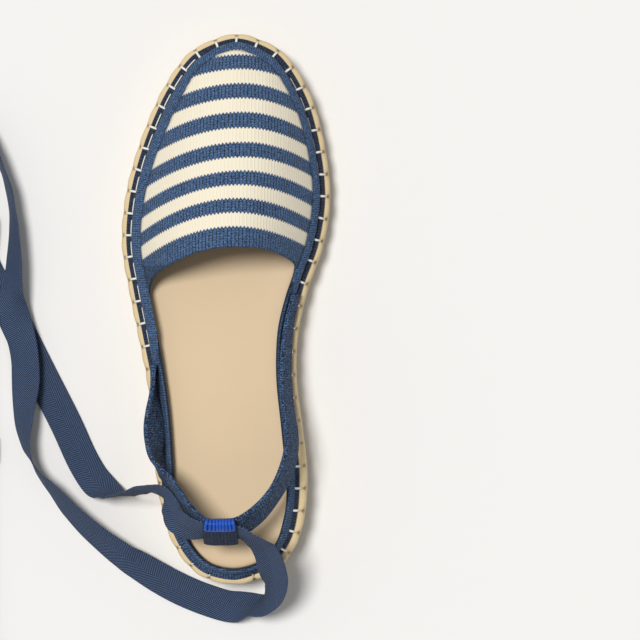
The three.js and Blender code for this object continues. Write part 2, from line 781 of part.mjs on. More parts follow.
function ribbonGeometry(route, steps) {
  const half = TIE_WIDTH / 2;
  const radians = (row) => THREE.MathUtils.degToRad(row.turn);
  const middles = new THREE.CatmullRomCurve3(
    route.map((row) => new THREE.Vector3(
      row.x,
      row.y,
      row.lift + half * Math.abs(Math.sin(radians(row))),
    )),
    false,
    'centripetal',
  );
  const turns = new THREE.CatmullRomCurve3(
    route.map((row, i) => new THREE.Vector3(radians(row), i * 0.01, 0)),
    false,
    'catmullrom',
    0.3,
  );
  const up = new THREE.Vector3(0, 0, 1);
  const sections = Array.from({ length: steps + 1 }, (_, i) => {
    const t = i / steps;
    const centre = middles.getPoint(t);
    const along = middles.getTangent(t);
    const side = new THREE.Vector3().crossVectors(along, up).normalize();
    const rise = new THREE.Vector3().crossVectors(side, along).normalize();
    const turn = turns.getPoint(t).x;
    const across = side.clone().multiplyScalar(Math.cos(turn)).addScaledVector(rise, Math.sin(turn));
    const normal = rise.clone().multiplyScalar(Math.cos(turn)).addScaledVector(side, -Math.sin(turn));
    const corner = (u, v) => centre.clone()
      .addScaledVector(across, u * half)
      .addScaledVector(normal, (v * TIE_THICKNESS) / 2);
    return [corner(-1, -1), corner(0, -1), corner(1, -1), corner(1, 1), corner(0, 1), corner(-1, 1)];
  });
  return sweptGeometry(sections);
}

function hankGeometry(hank) {
  const radius = HANK.width / 2;
  const shape = new THREE.Shape();
  shape.absarc(hank.x, hank.to - radius, radius, 0, Math.PI, false);
  shape.absarc(hank.x, hank.from + radius, radius, Math.PI, 2 * Math.PI, false);
  shape.closePath();
  const geometry = new THREE.ExtrudeGeometry(shape, {
    depth: HANK.height,
    bevelEnabled: false,
    curveSegments: 10,
  });
  geometry.translate(0, 0, HANK.floor);
  return fromManifold(toManifold(geometry));
}

function bandGeometry(hank) {
  const inner = HANK.width / 2 + GAP;
  const outer = inner + BAND.thickness;
  const bottom = HANK.floor - GAP - BAND.thickness;
  const top = HANK.floor + HANK.height + GAP + BAND.thickness;
  const rectangle = (side, low, high) => [
    new THREE.Vector2(hank.x - side, low),
    new THREE.Vector2(hank.x + side, low),
    new THREE.Vector2(hank.x + side, high),
    new THREE.Vector2(hank.x - side, high),
  ];
  const shape = new THREE.Shape(rectangle(outer, bottom, top));
  shape.holes.push(new THREE.Path(rectangle(inner, bottom + BAND.thickness, top - BAND.thickness)));
  const geometry = new THREE.ExtrudeGeometry(shape, { depth: BAND.length, bevelEnabled: false });
  geometry.rotateX(Math.PI / 2);
  geometry.translate(0, (hank.from + hank.to + BAND.length) / 2, 0);
  return fromManifold(toManifold(geometry));
}

// ---- Materials and the assembled shoe ----

const MATERIALS = {
  sole_rubber: { color: 0xd9c08f, roughness: 0.7, metalness: 0 },
  insole_leather: { color: 0xdec6a5, roughness: 0.55, metalness: 0 },
  navy_knit: { color: 0x3d5d84, roughness: 0.9, metalness: 0 },
  ribbon_twill: { color: 0x36475f, roughness: 0.75, metalness: 0 },
};

const shoe = new THREE.Group();
shoe.name = 'espadrille';

function addPart(name, geometry, slot) {
  const mesh = new THREE.Mesh(geometry, new THREE.MeshStandardMaterial(MATERIALS[slot]));
  mesh.name = name;
  shoe.add(mesh);
}

addPart('sole', soleGeometry(), 'sole_rubber');
addPart('insole', insoleGeometry(), 'insole_leather');
addPart('upper', upperGeometry(), 'navy_knit');
addPart('piping', pipingGeometry(), 'navy_knit');
addPart('slingback', strapGeometry(), 'navy_knit');
addPart('heel_loop', loopGeometry(), 'navy_knit');
addPart('tie_outer', ribbonGeometry(OUTER_ROUTE, TIE_STEPS), 'ribbon_twill');
addPart('tie_inner', ribbonGeometry(INNER_ROUTE, TIE_STEPS), 'ribbon_twill');
addPart('hank_outer', hankGeometry(OUTER_HANK), 'ribbon_twill');
addPart('hank_inner', hankGeometry(INNER_HANK), 'ribbon_twill');
addPart('band_outer', bandGeometry(OUTER_HANK), 'navy_knit');
addPart('band_inner', bandGeometry(INNER_HANK), 'navy_knit');

export default shoe;
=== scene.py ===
"""Slingback espadrille, left shoe, with ribbon ankle ties: the visible model.

Shapes are worked out in millimetres in the row's own frame (+Y to the toe, +X to the inner
side of the foot) and turned into metres as each mesh is made.
"""

import math

import bpy
import numpy as np
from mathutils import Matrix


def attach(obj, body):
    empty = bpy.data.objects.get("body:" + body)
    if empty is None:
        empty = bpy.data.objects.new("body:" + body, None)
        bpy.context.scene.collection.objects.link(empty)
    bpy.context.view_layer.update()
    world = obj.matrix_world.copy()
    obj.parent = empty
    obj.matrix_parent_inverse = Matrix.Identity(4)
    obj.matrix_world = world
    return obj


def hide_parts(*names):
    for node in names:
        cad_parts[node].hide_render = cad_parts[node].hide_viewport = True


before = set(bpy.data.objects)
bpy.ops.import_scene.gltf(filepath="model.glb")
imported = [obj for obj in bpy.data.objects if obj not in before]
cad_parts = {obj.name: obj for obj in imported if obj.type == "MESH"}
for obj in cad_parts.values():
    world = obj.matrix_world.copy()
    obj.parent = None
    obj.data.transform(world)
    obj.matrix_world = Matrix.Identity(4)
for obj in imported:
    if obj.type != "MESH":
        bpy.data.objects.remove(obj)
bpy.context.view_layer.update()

MM = 0.001
GAP = 0.3

# ---------------------------------------------------------------- the shoe's sizes

TOE_TIP = (5.4, 129.0)
HEEL_TIP = (4.5, -129.0)
# y, then the sole's edge on the outer (lateral) and the inner (medial) side
SOLE_SECTIONS = [
    (122.5, -14.0, 24.3),
    (117, -20.3, 30.2),
    (106, -28.0, 37.2),
    (95, -33.8, 42.0),
    (74, -42.0, 47.0),
    (52, -47.5, 49.0),
    (30, -49.0, 45.8),
    (9, -45.6, 38.5),
    (-13, -41.0, 33.8),
    (-34, -36.8, 33.3),
    (-56, -34.0, 36.0),
    (-78, -32.4, 38.3),
    (-99, -28.6, 36.8),
    (-110, -24.4, 33.4),
    (-120, -17.6, 26.6),
    (-126, -9.6, 17.6),
]
BALL_THICKNESS, HEEL_THICKNESS = 15.0, 22.0
# y where the wedge starts to rise and where it is full
WEDGE = (35.0, -70.0)
# y where each starts (the arch also where it stops), and how far it lifts
TOE_SPRING = (72.0, 7.0)
DECK_SPRING = (60.0, 6.0)
ARCH = (15.0, -52.0, 1.4)
HEEL_ROUND = (-112.0, 1.2)

FEATHER_INSET, INSOLE_INSET = 5.2, 7.9
FOOT_WALL, WALL = 1.5, 1.8
# y, crown height over the deck, and how far its ridge lies to the medial side
CROWN = [(-73, 40, 0), (-10, 42, 3), (30, 44, 6), (47, 41, 6)]
TOE_PIVOT, HEEL_PIVOT = 47.0, -73.0
# how far the fans round the pivots reach past them, and how round the ridge is
FAN_OVERLAP, RIDGE_SOFT = 12, 0.06
# powers of the crown's arch across the foot, and along it at the toe
SIDE_ARCH, TOE_ARCH = (2.0, 1.15), (1.4, 1.8)

# The foot's opening: throat, collar sides and heel rim
OPENING = [
    (8.8, 29.2), (-2.2, 28.6), (-13.5, 26), (-25, 21), (-33, 16), (-36.1, 10.5),
    (-36.2, 3.5), (-33.6, -9), (-31.6, -19), (-29.6, -31), (-28, -42), (-26.6, -55),
    (-25.2, -75), (-23.6, -90), (-20.6, -102), (-15.8, -112), (-7.4, -119.8),
    (4.6, -122.4), (16.6, -119.4), (25.4, -109.6), (29, -99), (30.6, -89),
    (30.4, -78), (28.2, -55), (26, -34), (25.8, -20), (26.8, -8), (30.2, 6),
    (33.6, 16.5), (33.8, 21), (26.8, 25.8), (19.6, 28.1),
]

# The sling strap's top edge and low edge, from the outer seam round the heel to the inner one
STRAP = [
    ((-32.4, -26, 31.5), (-34.1, -26, 22.9)),
    ((-33.4, -38, 35), (-33, -38, 25)),
    ((-35.2, -46, 39), (-30.6, -46, 27.3)),
    ((-36.2, -54, 42.5), (-29.2, -54.5, 29.7)),
    ((-35.4, -61, 46), (-29, -62.5, 32.4)),
    ((-33, -68, 50), (-29.8, -70.5, 35.4)),
    ((-28.2, -73, 53.5), (-29.4, -76, 38)),
    ((-24.2, -76, 56), (-26.4, -80, 41)),
    ((-19.1, -82.4, 59), (-21.2, -86.6, 44)),
    ((-14.2, -88.8, 61.5), (-15.8, -94.4, 46.6)),
    ((-7.2, -95.2, 63.4), (-7.6, -103.8, 49)),
    ((0, -95.7, 64), (0, -104.6, 49.6)),
    ((6.8, -95.1, 63.4), (7.4, -103.9, 49.2)),
    ((15.3, -89.7, 61.5), (17, -97.8, 47)),
    ((22.8, -81.2, 58), (24.2, -89.2, 43.5)),
    ((27.4, -70.5, 53.5), (30.6, -78.2, 39.5)),
    ((29.2, -61.6, 49.3), (33.4, -68, 35.5)),
    ((28.8, -54, 45.5), (33.6, -58, 31.5)),
    ((27.4, -44, 41), (31.8, -47, 28.3)),
    ((26.6, -34, 36.8), (30.5, -35, 25.5)),
    ((26.8, -22, 32.8), (30.3, -22, 23.2)),
    ((28.3, -8, 29.8), (31.2, -8, 21.4)),
    ((32.0, 7, 27.6), (34.2, 7, 19.9)),
]
STRAP_THICKNESS, STRAP_WIDTH = 2.2, 15.5
# the keeper's middle, in rows of STRAP, half its width, and its clear height and thickness
LOOP_MIDDLE, LOOP_HALF, LOOP_CLEAR, LOOP_PLATE = 10.98, 5.6, 1.9, 0.9

TIE_WIDTH, TIE_THICKNESS, TIE_LENGTH = 15.0, 0.8, 0.80
# x, y, lift of the low edge, turn in degrees
OUTER_ROUTE = [
    (-0.9, -102.2, 51.7, 58), (-5, -102.2, 51.6, 58), (-9.2, -100.9, 51.1, 57),
    (-15.4, -99.6, 50, 42), (-21.2, -96.6, 46, 38), (-25, -90.4, 40, 50),
    (-27.6, -86, 35.6, 66), (-31, -84.4, 32.4, 72), (-36, -84, 28.6, 73),
    (-42.5, -85.7, 19.6, 73), (-48.6, -87.4, 10.6, 80), (-53, -87.6, 4.8, 105),
    (-57, -85.8, 1.7, 140), (-62.3, -81.4, 0.9, 170), (-68, -72.6, 0.8, 180),
    (-76.3, -54.6, 0.8, 180), (-88.6, -30.3, 0.8, 180), (-96, -15.4, 0.8, 180),
    (-103, -0.8, 0.8, 180), (-108.8, 9.8, 0.9, 180),
]
INNER_ROUTE = [
    (-0.3, -102.2, 51.7, -58), (3.6, -102.2, 51.6, -58), (7.6, -102.7, 51, -59),
    (11.8, -104.3, 48.8, -70), (15.3, -106.4, 46, -62), (18.5, -109.4, 43.2, -47),
    (20.8, -113.8, 40, -37), (22.3, -119.2, 36.5, -30), (23.1, -125.2, 31.5, -28),
    (22.2, -131, 23.7, -35), (19.6, -135.6, 14.3, -50), (15.5, -139.2, 4.9, -65),
    (9.3, -140.4, 1.2, -40), (1.5, -141, 0.9, -6), (-9.4, -138, 0.8, 0),
    (-20.3, -133.6, 0.8, 3), (-30.1, -128.5, 0.8, 8), (-43.1, -120.5, 0.8, 22),
    (-49, -116.7, 0.8, 33), (-62.9, -105.8, 0.8, 46), (-73.9, -95.1, 0.8, 56),
    (-82.7, -84.4, 0.8, 68), (-88.5, -78, 0.8, 79), (-91.8, -71.9, 0.8, 83),
    (-94.7, -64.4, 0.8, 70), (-95.8, -51.9, 0.9, 49), (-95.1, -34, 1.6, 25),
    (-95.3, -24.8, 2.2, 25), (-96.6, -16, 2.4, 22), (-99.3, -6.8, 2.4, 12),
    (-101.3, 2.1, 2.4, 22), (-100.9, 11.2, 2.4, 46), (-100.3, 20.1, 2.2, 55),
    (-100.3, 38.3, 1.2, 68), (-101.1, 47, 0.8, 74), (-102.7, 56.3, 0.8, 74),
    (-105.4, 65.2, 0.8, 78), (-109.4, 74, 0.8, 72), (-116, 83, 0.8, 52),
    (-126, 91, 0.9, 25), (-134, 95, 1.2, 6), (-141.4, 97.6, 1.8, 0),
]

# Cream stripes on the vamp: middle of each along the ridge, and its width
STRIPES = [
    (119.4, 2.6), (107.6, 6.9), (93.8, 6.6), (79.8, 6.7), (66.4, 6.3), (53.6, 6.2),
    (40.8, 6.4),
]
# How the knit's courses bow: y on the ridge, x of the top of the bow, and how fast each side
# falls with the square of the distance
BOW = [(44, 6.5, 0.0073, 0.0085), (69, 11.0, 0.0057, 0.0088), (111, 9.0, 0.0060, 0.0105)]

STITCH_PITCH = 10.7
# how much further in the rand lies at the inner side of the heel
HEEL_SHIFT = 1.1
# y span on the lateral side where the strap hides the stitches
UNDER_STRAP = (-92.0, -24.0)
# Round the back of the heel, short of this x and y, only the lower end of a stitch shows
HEEL_RIM = (20.0, -96.0)

# ---------------------------------------------------------------- points and curves


def unit(vectors):
    """The vectors scaled to a length of 1."""
    return vectors / np.maximum(np.linalg.norm(vectors, axis=-1), 1e-9)[..., None]


def distances(points):
    """How far along a polyline each of its points lies."""
    steps = np.linalg.norm(np.diff(points, axis=0), axis=1)
    return np.concatenate([[0], np.cumsum(steps)])


def fade(value, start, over):
    """From 0 at start to 1 at start + over in a straight line, and level beyond them."""
    return np.clip((value - start) / over, 0, 1)


def spline(points, t, closed=False, tension=None):
    """A Catmull-Rom curve through points, at places t from 0 to 1: centripetal, or uniform
    with the given tension."""
    p = np.asarray(points, float)
    t = np.asarray(t, float)
    n = len(p)
    if closed:
        place = (t % 1.0) * n
        i = np.floor(place).astype(int)
        w = place - i
        corners = [p[(i + k) % n] for k in (-1, 0, 1, 2)]
    else:
        ends = np.vstack([2 * p[0] - p[1], p, 2 * p[-1] - p[-2]])
        place = np.clip(t, 0, 1) * (n - 1)
        i = np.minimum(np.floor(place).astype(int), n - 2)
        w = place - i
        corners = [ends[i + k] for k in (0, 1, 2, 3)]
    a, b, c, d = corners
    if tension is None:
        gaps = [
            np.maximum(np.sum((q - r) ** 2, axis=-1), 1e-9) ** 0.25
            for q, r in ((a, b), (b, c), (c, d))
        ]
        g0, g1, g2 = (g[..., None] for g in gaps)
        m1 = ((b - a) / g0 - (c - a) / (g0 + g1) + (c - b) / g1) * g1
        m2 = ((c - b) / g1 - (d - b) / (g1 + g2) + (d - c) / g2) * g1
    else:
        m1 = tension * (c - a)
        m2 = tension * (d - b)
    w = w[..., None]
    return (
        b + m1 * w + (-3 * b + 3 * c - 2 * m1 - m2) * w**2 + (2 * b - 2 * c + m1 + m2) * w**3
    )


def even(points, count, closed=False):
    """count places along a polyline, the same distance apart."""
    p = np.vstack([points, points[:1]]) if closed else np.asarray(points)
    far = distances(p)
    at = np.linspace(0, far[-1], count + 1)[:-1] if closed else np.linspace(0, far[-1], count)
    return np.stack([np.interp(at, far, p[:, k]) for k in range(p.shape[1])], axis=1)


def length_of(points):
    return float(distances(points)[-1])


# ---------------------------------------------------------------- the sole's outline

OUTLINE_POINTS = (
    [TOE_TIP]
    + [(medial, y) for y, lateral, medial in SOLE_SECTIONS]
    + [HEEL_TIP]
    + [(lateral, y) for y, lateral, medial in reversed(SOLE_SECTIONS)]
)
outline = spline(OUTLINE_POINTS, np.arange(4000) / 4000, closed=True)
outline = np.roll(outline, -int(np.argmax(outline[:, 1])), axis=0)
heel_at = int(np.argmin(outline[:, 1]))
MEDIAL_EDGE = outline[: heel_at + 1]
LATERAL_EDGE = np.vstack([outline[:1], outline[:heel_at - 1:-1]])
TOE_Y, HEEL_Y = outline[0, 1], outline[heel_at, 1]


def side_x(edge, y):
    """x of a side of the outline, toe to heel, at y."""
    return np.interp(y, edge[::-1, 1], edge[::-1, 0])


def tread_height(y):
    """Height of the sole's underside over the floor."""
    toe = np.maximum(y - TOE_SPRING[0], 0) / (TOE_Y - TOE_SPRING[0])
    heel = np.maximum(HEEL_ROUND[0] - y, 0) / (HEEL_ROUND[0] - HEEL_Y)
    in_arch = fade(y, ARCH[0], ARCH[1] - ARCH[0])
    arch = ARCH[2] * np.sin(np.pi * in_arch) ** 2
    return TOE_SPRING[1] * toe**2 + HEEL_ROUND[1] * heel**2 + arch


def deck_height(y):
    """Height of the sole's upper face over the floor."""
    s = fade(y, WEDGE[0], WEDGE[1] - WEDGE[0])
    rise = s * s * (3 - 2 * s)
    toe = np.maximum(y - DECK_SPRING[0], 0) / (TOE_Y - DECK_SPRING[0])
    return BALL_THICKNESS + (HEEL_THICKNESS - BALL_THICKNESS) * rise + DECK_SPRING[1] * toe**1.8


class Edge:
    """The outline as a loop of places: toe tip, medial side, heel tip, lateral side."""

    def __init__(self, half):
        medial = even(MEDIAL_EDGE, half + 1)
        lateral = even(LATERAL_EDGE, half + 1)
        self.half = half
        self.places = np.vstack([medial, lateral[-2:0:-1]])
        along = unit(np.roll(self.places, -1, axis=0) - np.roll(self.places, 1, axis=0))
        self.inward = np.stack([along[:, 1], -along[:, 0]], axis=1)
        run = np.linspace(0, 1, half + 1)
        back = -run[-2:0:-1] * length_of(LATERAL_EDGE)
        self.along = np.concatenate([run * length_of(MEDIAL_EDGE), back])

    def inset(self, distance):
        return self.places + self.inward * np.asarray(distance).reshape(-1, 1)


# ---------------------------------------------------------------- the last


def crown_at(y, column):
    rows = np.array(CROWN, float)
    return np.interp(y, rows[:, 0], rows[:, column])


def ridge_x(y):
    return (side_x(MEDIAL_EDGE, y) + side_x(LATERAL_EDGE, y)) / 2 + crown_at(y, 2)


class Last:
    """The dome that the upper is drawn over. It stands on the feather line, where the upper
    meets the sole, and fans out round a pivot at the toe and one at the heel."""

    def __init__(self):
        edge = Edge(500)
        loop = edge.inset(FEATHER_INSET)
        self.medial = loop[: edge.half + 1]
        self.lateral = np.vstack([loop[:1], loop[:edge.half - 1:-1]])
        self.fans = {}
        for pivot_y in (TOE_PIVOT, HEEL_PIVOT):
            away = loop - np.array([ridge_x(pivot_y), pivot_y])
            sign = 1 if pivot_y > 0 else -1
            keep = away[:, 1] * sign > -FAN_OVERLAP
            angle = np.arctan2(away[keep, 1] * sign, away[keep, 0])
            order = np.argsort(angle)
            reach = np.linalg.norm(away[keep], axis=1)
            self.fans[pivot_y] = (angle[order], reach[order], sign)

    def place(self, x, y):
        """A place's pivot, how far out from it the place is (1 on the feather line), and how
        much it points to the toe or the heel."""
        pivot_y = np.clip(y, HEEL_PIVOT, TOE_PIVOT)
        pivot_x = ridge_x(pivot_y)
        dx, dy = x - pivot_x, y - pivot_y
        distance = np.hypot(dx, dy)
        reach = np.where(
            dx > 0,
            side_x(self.medial, pivot_y) - pivot_x,
            pivot_x - side_x(self.lateral, pivot_y),
        )
        for pivot, (angles, reaches, sign) in self.fans.items():
            beyond = dy * sign > 0
            fan = np.interp(np.arctan2(dy * sign, dx), angles, reaches)
            reach = np.where(beyond & (pivot_y == pivot), fan, reach)
        endwise = np.abs(dy) / np.maximum(distance, 1e-9)
        return pivot_x, pivot_y, distance / reach, endwise

    def powers(self, endwise):
        t = endwise**4
        return (
            SIDE_ARCH[0] + (TOE_ARCH[0] - SIDE_ARCH[0]) * t,
            SIDE_ARCH[1] + (TOE_ARCH[1] - SIDE_ARCH[1]) * t,
        )

    def height(self, x, y):
        _, pivot_y, ratio, endwise = self.place(x, y)
        p, q = self.powers(endwise)
        crown = crown_at(pivot_y, 1)
        ratio = np.hypot(ratio, RIDGE_SOFT * np.maximum(1 - ratio, 0))
        rise = np.maximum(1 - np.minimum(ratio, 1) ** p, 0) ** (1 / q)
        return deck_height(y) + GAP + FOOT_WALL + crown * rise

    def wall_point(self, x, y, height):
        """The dome's point above a place on the feather line, at a height over its foot."""
        pivot_x, pivot_y, _, endwise = self.place(x, y)
        p, q = self.powers(endwise)
        ratio = (1 - (height / crown_at(pivot_y, 1)) ** q) ** (1 / p)
        px = pivot_x + (x - pivot_x) * ratio
        py = pivot_y + (y - pivot_y) * ratio
        return np.stack([px, py, deck_height(py) + GAP + FOOT_WALL + height], axis=-1)


last = Last()

# ---------------------------------------------------------------- meshes


def grid_faces(rows, ring, wrap_rows=False, start=0):
    """Quads between rows of points, each row a closed ring."""
    r, c = np.meshgrid(np.arange(rows if wrap_rows else rows - 1), np.arange(ring), indexing="ij")
    r2, c2 = (r + 1) % rows, (c + 1) % ring
    quads = np.stack([r * ring + c, r * ring + c2, r2 * ring + c2, r2 * ring + c], axis=-1)
    return quads.reshape(-1, 4) + start


def tube_faces(rows, ring):
    """Quads between rows of points, each row a closed ring, and a face over each end."""
    faces = [tuple(f) for f in grid_faces(rows, ring)]
    faces.append(tuple(range(ring)))
    faces.append(tuple(reversed(range((rows - 1) * ring, rows * ring))))
    return faces


def make_mesh(name, points, faces, material, uv=None, values=None, flip=False):
    """An object from points in millimetres, with uv in millimetres and named values for each
    point."""
    if flip:
        faces = [tuple(reversed(f)) for f in faces]
    mesh = bpy.data.meshes.new(name)
    corners = [tuple(map(int, f)) for f in faces]
    mesh.from_pydata([tuple(p) for p in np.asarray(points) * MM], [], corners)
    for key, value in (values or {}).items():
        layer = mesh.attributes.new(key, "FLOAT", "POINT")
        layer.data.foreach_set("value", np.asarray(value, np.float32))
    if uv is not None:
        layer = mesh.uv_layers.new(name="weave")
        corner = np.empty(len(mesh.loops), np.int32)
        mesh.loops.foreach_get("vertex_index", corner)
        layer.data.foreach_set("uv", (np.asarray(uv)[corner] * MM).astype(np.float32).ravel())
    mesh.polygons.foreach_set("use_smooth", [True] * len(mesh.polygons))
    mesh.validate()
    mesh.update()
    mesh.materials.append(material)
    made = bpy.data.objects.new(name, mesh)
    bpy.context.scene.collection.objects.link(made)
    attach(made, "root")
    return made


def outline_slab(edge, rings, columns, bottom_z, top_z):
    """Points and faces of a closed slab: rings (inset, z) from the bottom up, and grids across
    at the bottom and the top, whose heights come from functions of y."""
    half, size = edge.half, len(edge.places)
    points = [np.column_stack([edge.inset(inset), z]) for inset, z in rings]
    faces = [
        quad
        for k in range(len(rings) - 1)
        for quad in grid_faces(2, size, start=k * size)
    ]
    points = np.vstack(points)
    for ring, height, upward in ((0, bottom_z, False), (len(rings) - 1, top_z, True)):
        loop = points[ring * size:(ring + 1) * size]
        medial = loop[1:half]
        lateral = loop[:half:-1]
        share = (np.arange(1, columns) / columns)[None, :, None]
        across = lateral[:, None, :] * (1 - share) + medial[:, None, :] * share
        across[..., 2] = height(across[..., 1])
        start = len(points)
        points = np.vstack([points, across.reshape(-1, 3)])
        base = ring * size
        index = np.empty((half - 1, columns + 1), int)
        index[:, 0] = base + size - 1 - np.arange(half - 1)
        index[:, -1] = base + 1 + np.arange(half - 1)
        index[:, 1:-1] = start + np.arange((half - 1) * (columns - 1)).reshape(half - 1, -1)
        fill = []
        for m in range(columns):
            fill.append((base, index[0, m + 1], index[0, m]))
            fill.append((base + half, index[-1, m], index[-1, m + 1]))
        a, b = index[:-1, :-1], index[:-1, 1:]
        c, d = index[1:, 1:], index[1:, :-1]
        fill += list(np.stack([a, b, c, d], axis=-1).reshape(-1, 4))
        if not upward:
            fill = [tuple(reversed(f)) for f in fill]
        faces += [tuple(f) for f in fill]
    return points, faces


def normals_of(grid):
    """Unit normals of rows of points, each row a closed ring."""
    around = np.roll(grid, -1, axis=1) - np.roll(grid, 1, axis=1)
    return unit(np.cross(around, np.gradient(grid, axis=0)))


def tube(path, radius, sides):
    """Points and faces of a round thread along a path, with tapered ends."""
    path = np.asarray(path, float)
    along = unit(np.gradient(path, axis=0))
    side = np.cross(along, (0.0, 0.0, 1.0))
    upright = np.linalg.norm(side, axis=1) < 0.2
    side[upright] = np.cross(along[upright], (0.0, 1.0, 0.0))
    side = unit(side)
    rise = np.cross(side, along)
    angle = np.arange(sides)[:, None] * 2 * math.pi / sides
    size = np.full(len(path), radius)
    size[0] = size[-1] = radius * 0.35
    spokes = side[:, None] * np.cos(angle) + rise[:, None] * np.sin(angle)
    ring = path[:, None] + spokes * size[:, None, None]
    return ring.reshape(-1, 3), tube_faces(len(path), sides)


def joined(parts):
    """The points and faces of several pieces as one."""
    points, faces, count = [], [], 0
    for p, f in parts:
        points.append(p)
        faces += [tuple(i + count for i in face) for face in f]
        count += len(p)
    return np.vstack(points), faces


# ---------------------------------------------------------------- materials


class Graph:
    """A short way to write a material's nodes."""

    def __init__(self, name, roughness, **sockets):
        self.material = bpy.data.materials.new(name)
        self.material.use_nodes = True
        self.tree = self.material.node_tree
        self.bsdf = self.tree.nodes["Principled BSDF"]
        self.bsdf.inputs["Roughness"].default_value = roughness
        for key, value in sockets.items():
            self.bsdf.inputs[key.replace("_", " ")].default_value = value

    def put(self, socket, value):
        """Another node's output, a number, or a colour as a tuple."""
        if isinstance(value, bpy.types.NodeSocket):
            self.tree.links.new(value, socket)
        elif isinstance(value, tuple):
            socket.default_value = (*value, 1)
        else:
            socket.default_value = value

    def math(self, operation, *values, clamp=False):
        node = self.tree.nodes.new("ShaderNodeMath")
        node.operation = operation
        node.use_clamp = clamp
        for socket, value in zip(node.inputs, values):
            self.put(socket, value)
        return node.outputs[0]

    def mix(self, share, first, second):
        node = self.tree.nodes.new("ShaderNodeMix")
        node.data_type = "RGBA"
        self.put(node.inputs[0], share)
        self.put(node.inputs[6], first)
        self.put(node.inputs[7], second)
        return node.outputs[2]

    def ramp(self, value, low, high):
        node = self.tree.nodes.new("ShaderNodeMapRange")
        node.interpolation_type = "SMOOTHSTEP"
        self.put(node.inputs["Value"], value)
        self.put(node.inputs["From Min"], low)
        self.put(node.inputs["From Max"], high)
        return node.outputs[0]

    def uv(self):
        node = self.tree.nodes.new("ShaderNodeUVMap")
        node.uv_map = "weave"
        split = self.tree.nodes.new("ShaderNodeSeparateXYZ")
        self.tree.links.new(node.outputs[0], split.inputs[0])
        return split.outputs[0], split.outputs[1]

    def value(self, name):
        node = self.tree.nodes.new("ShaderNodeAttribute")
        node.attribute_name = name
        return node.outputs["Fac"]

    def noise(self, scale, detail, rough=0.5):
        place = self.tree.nodes.new("ShaderNodeTexCoord")
        node = self.tree.nodes.new("ShaderNodeTexNoise")
        node.inputs["Scale"].default_value = scale
        node.inputs["Detail"].default_value = detail
        node.inputs["Roughness"].default_value = rough
        self.tree.links.new(place.outputs["Object"], node.inputs["Vector"])
        return node.outputs["Fac"]

    def finish(self, colour, height=None, distance=0.0003):
        """The material in that colour, with a bump where there is a height."""
        self.put(self.bsdf.inputs["Base Color"], colour)
        if height is not None:
            bump = self.tree.nodes.new("ShaderNodeBump")
            bump.inputs["Strength"].default_value = 1.0
            bump.inputs["Distance"].default_value = distance
            self.tree.links.new(height, bump.inputs["Height"])
            self.tree.links.new(bump.outputs[0], self.bsdf.inputs["Normal"])
        return self.material


def srgb(red, green, blue):
    """A colour as shaders take it, from its usual values of 0 to 255."""
    def linear(v):
        v /= 255
        return v / 12.92 if v <= 0.04045 else ((v + 0.055) / 1.055) ** 2.4

    return (linear(red), linear(green), linear(blue))


# painted shade between the stitches, the yarn's navy, and a painted highlight on the stitches' tops
NAVY_STITCH_SHADE = srgb(16, 29, 50)
NAVY = srgb(62, 91, 130)
NAVY_STITCH_HIGHLIGHT = srgb(100, 130, 168)
CREAM = srgb(241, 232, 211)
# painted shade between the cream stitches
CREAM_SHADE = srgb(219, 207, 180)
# painted shade for the crease beside the roll and the collar's inner side
PAINTED_SHADE_NAVY = srgb(14, 22, 36)
# a guessed lining colour, darkened to stand in as painted shade inside the vamp
LINING_AND_SHADE = srgb(104, 64, 28)


def knit_nodes(g, wale, course):
    """Height of a plain knit, from 0 between the stitches to 1 on their legs, for stitches of
    that width and height in millimetres."""
    u, v = g.uv()
    across = g.math("DIVIDE", u, wale * MM)
    along = g.math("DIVIDE", v, course * MM)
    from_middle = g.math("ABSOLUTE", g.math("SUBTRACT", g.math("FRACT", across), 0.5))
    rib = g.math("SUBTRACT", 1.0, g.math("POWER", g.math("MULTIPLY", from_middle, 2.0), 2.4))
    split = g.math("POWER", g.math("MULTIPLY_ADD", from_middle, 4.0, -1.0), 2.0)
    leg = g.math("MULTIPLY", rib, g.math("MULTIPLY_ADD", split, -0.4, 1.0))
    slant = g.math("ADD", along, g.math("MULTIPLY", from_middle, 1.3))
    place = g.math("FRACT", slant)
    body = g.math("MULTIPLY", g.math("MULTIPLY", place, g.math("SUBTRACT", 1.0, place)), 4.0)
    return g.math("MULTIPLY", leg, g.math("MULTIPLY_ADD", body, 0.65, 0.35)), across


def knit_colour(g, height, deep, middle, light, fleck=2.6):
    """Painted shade between the stitches and a painted highlight on top of them, with flecks of that
    strength.
    """
    speck = g.noise(1300, 2.0, rough=0.7)
    lift = g.math("MULTIPLY_ADD", speck, fleck, -fleck / 2)
    tone = g.math("ADD", height, lift, clamp=True)
    base = g.mix(g.ramp(tone, 0.0, 0.55), deep, middle)
    return g.mix(g.ramp(tone, 0.6, 1.15), base, light)


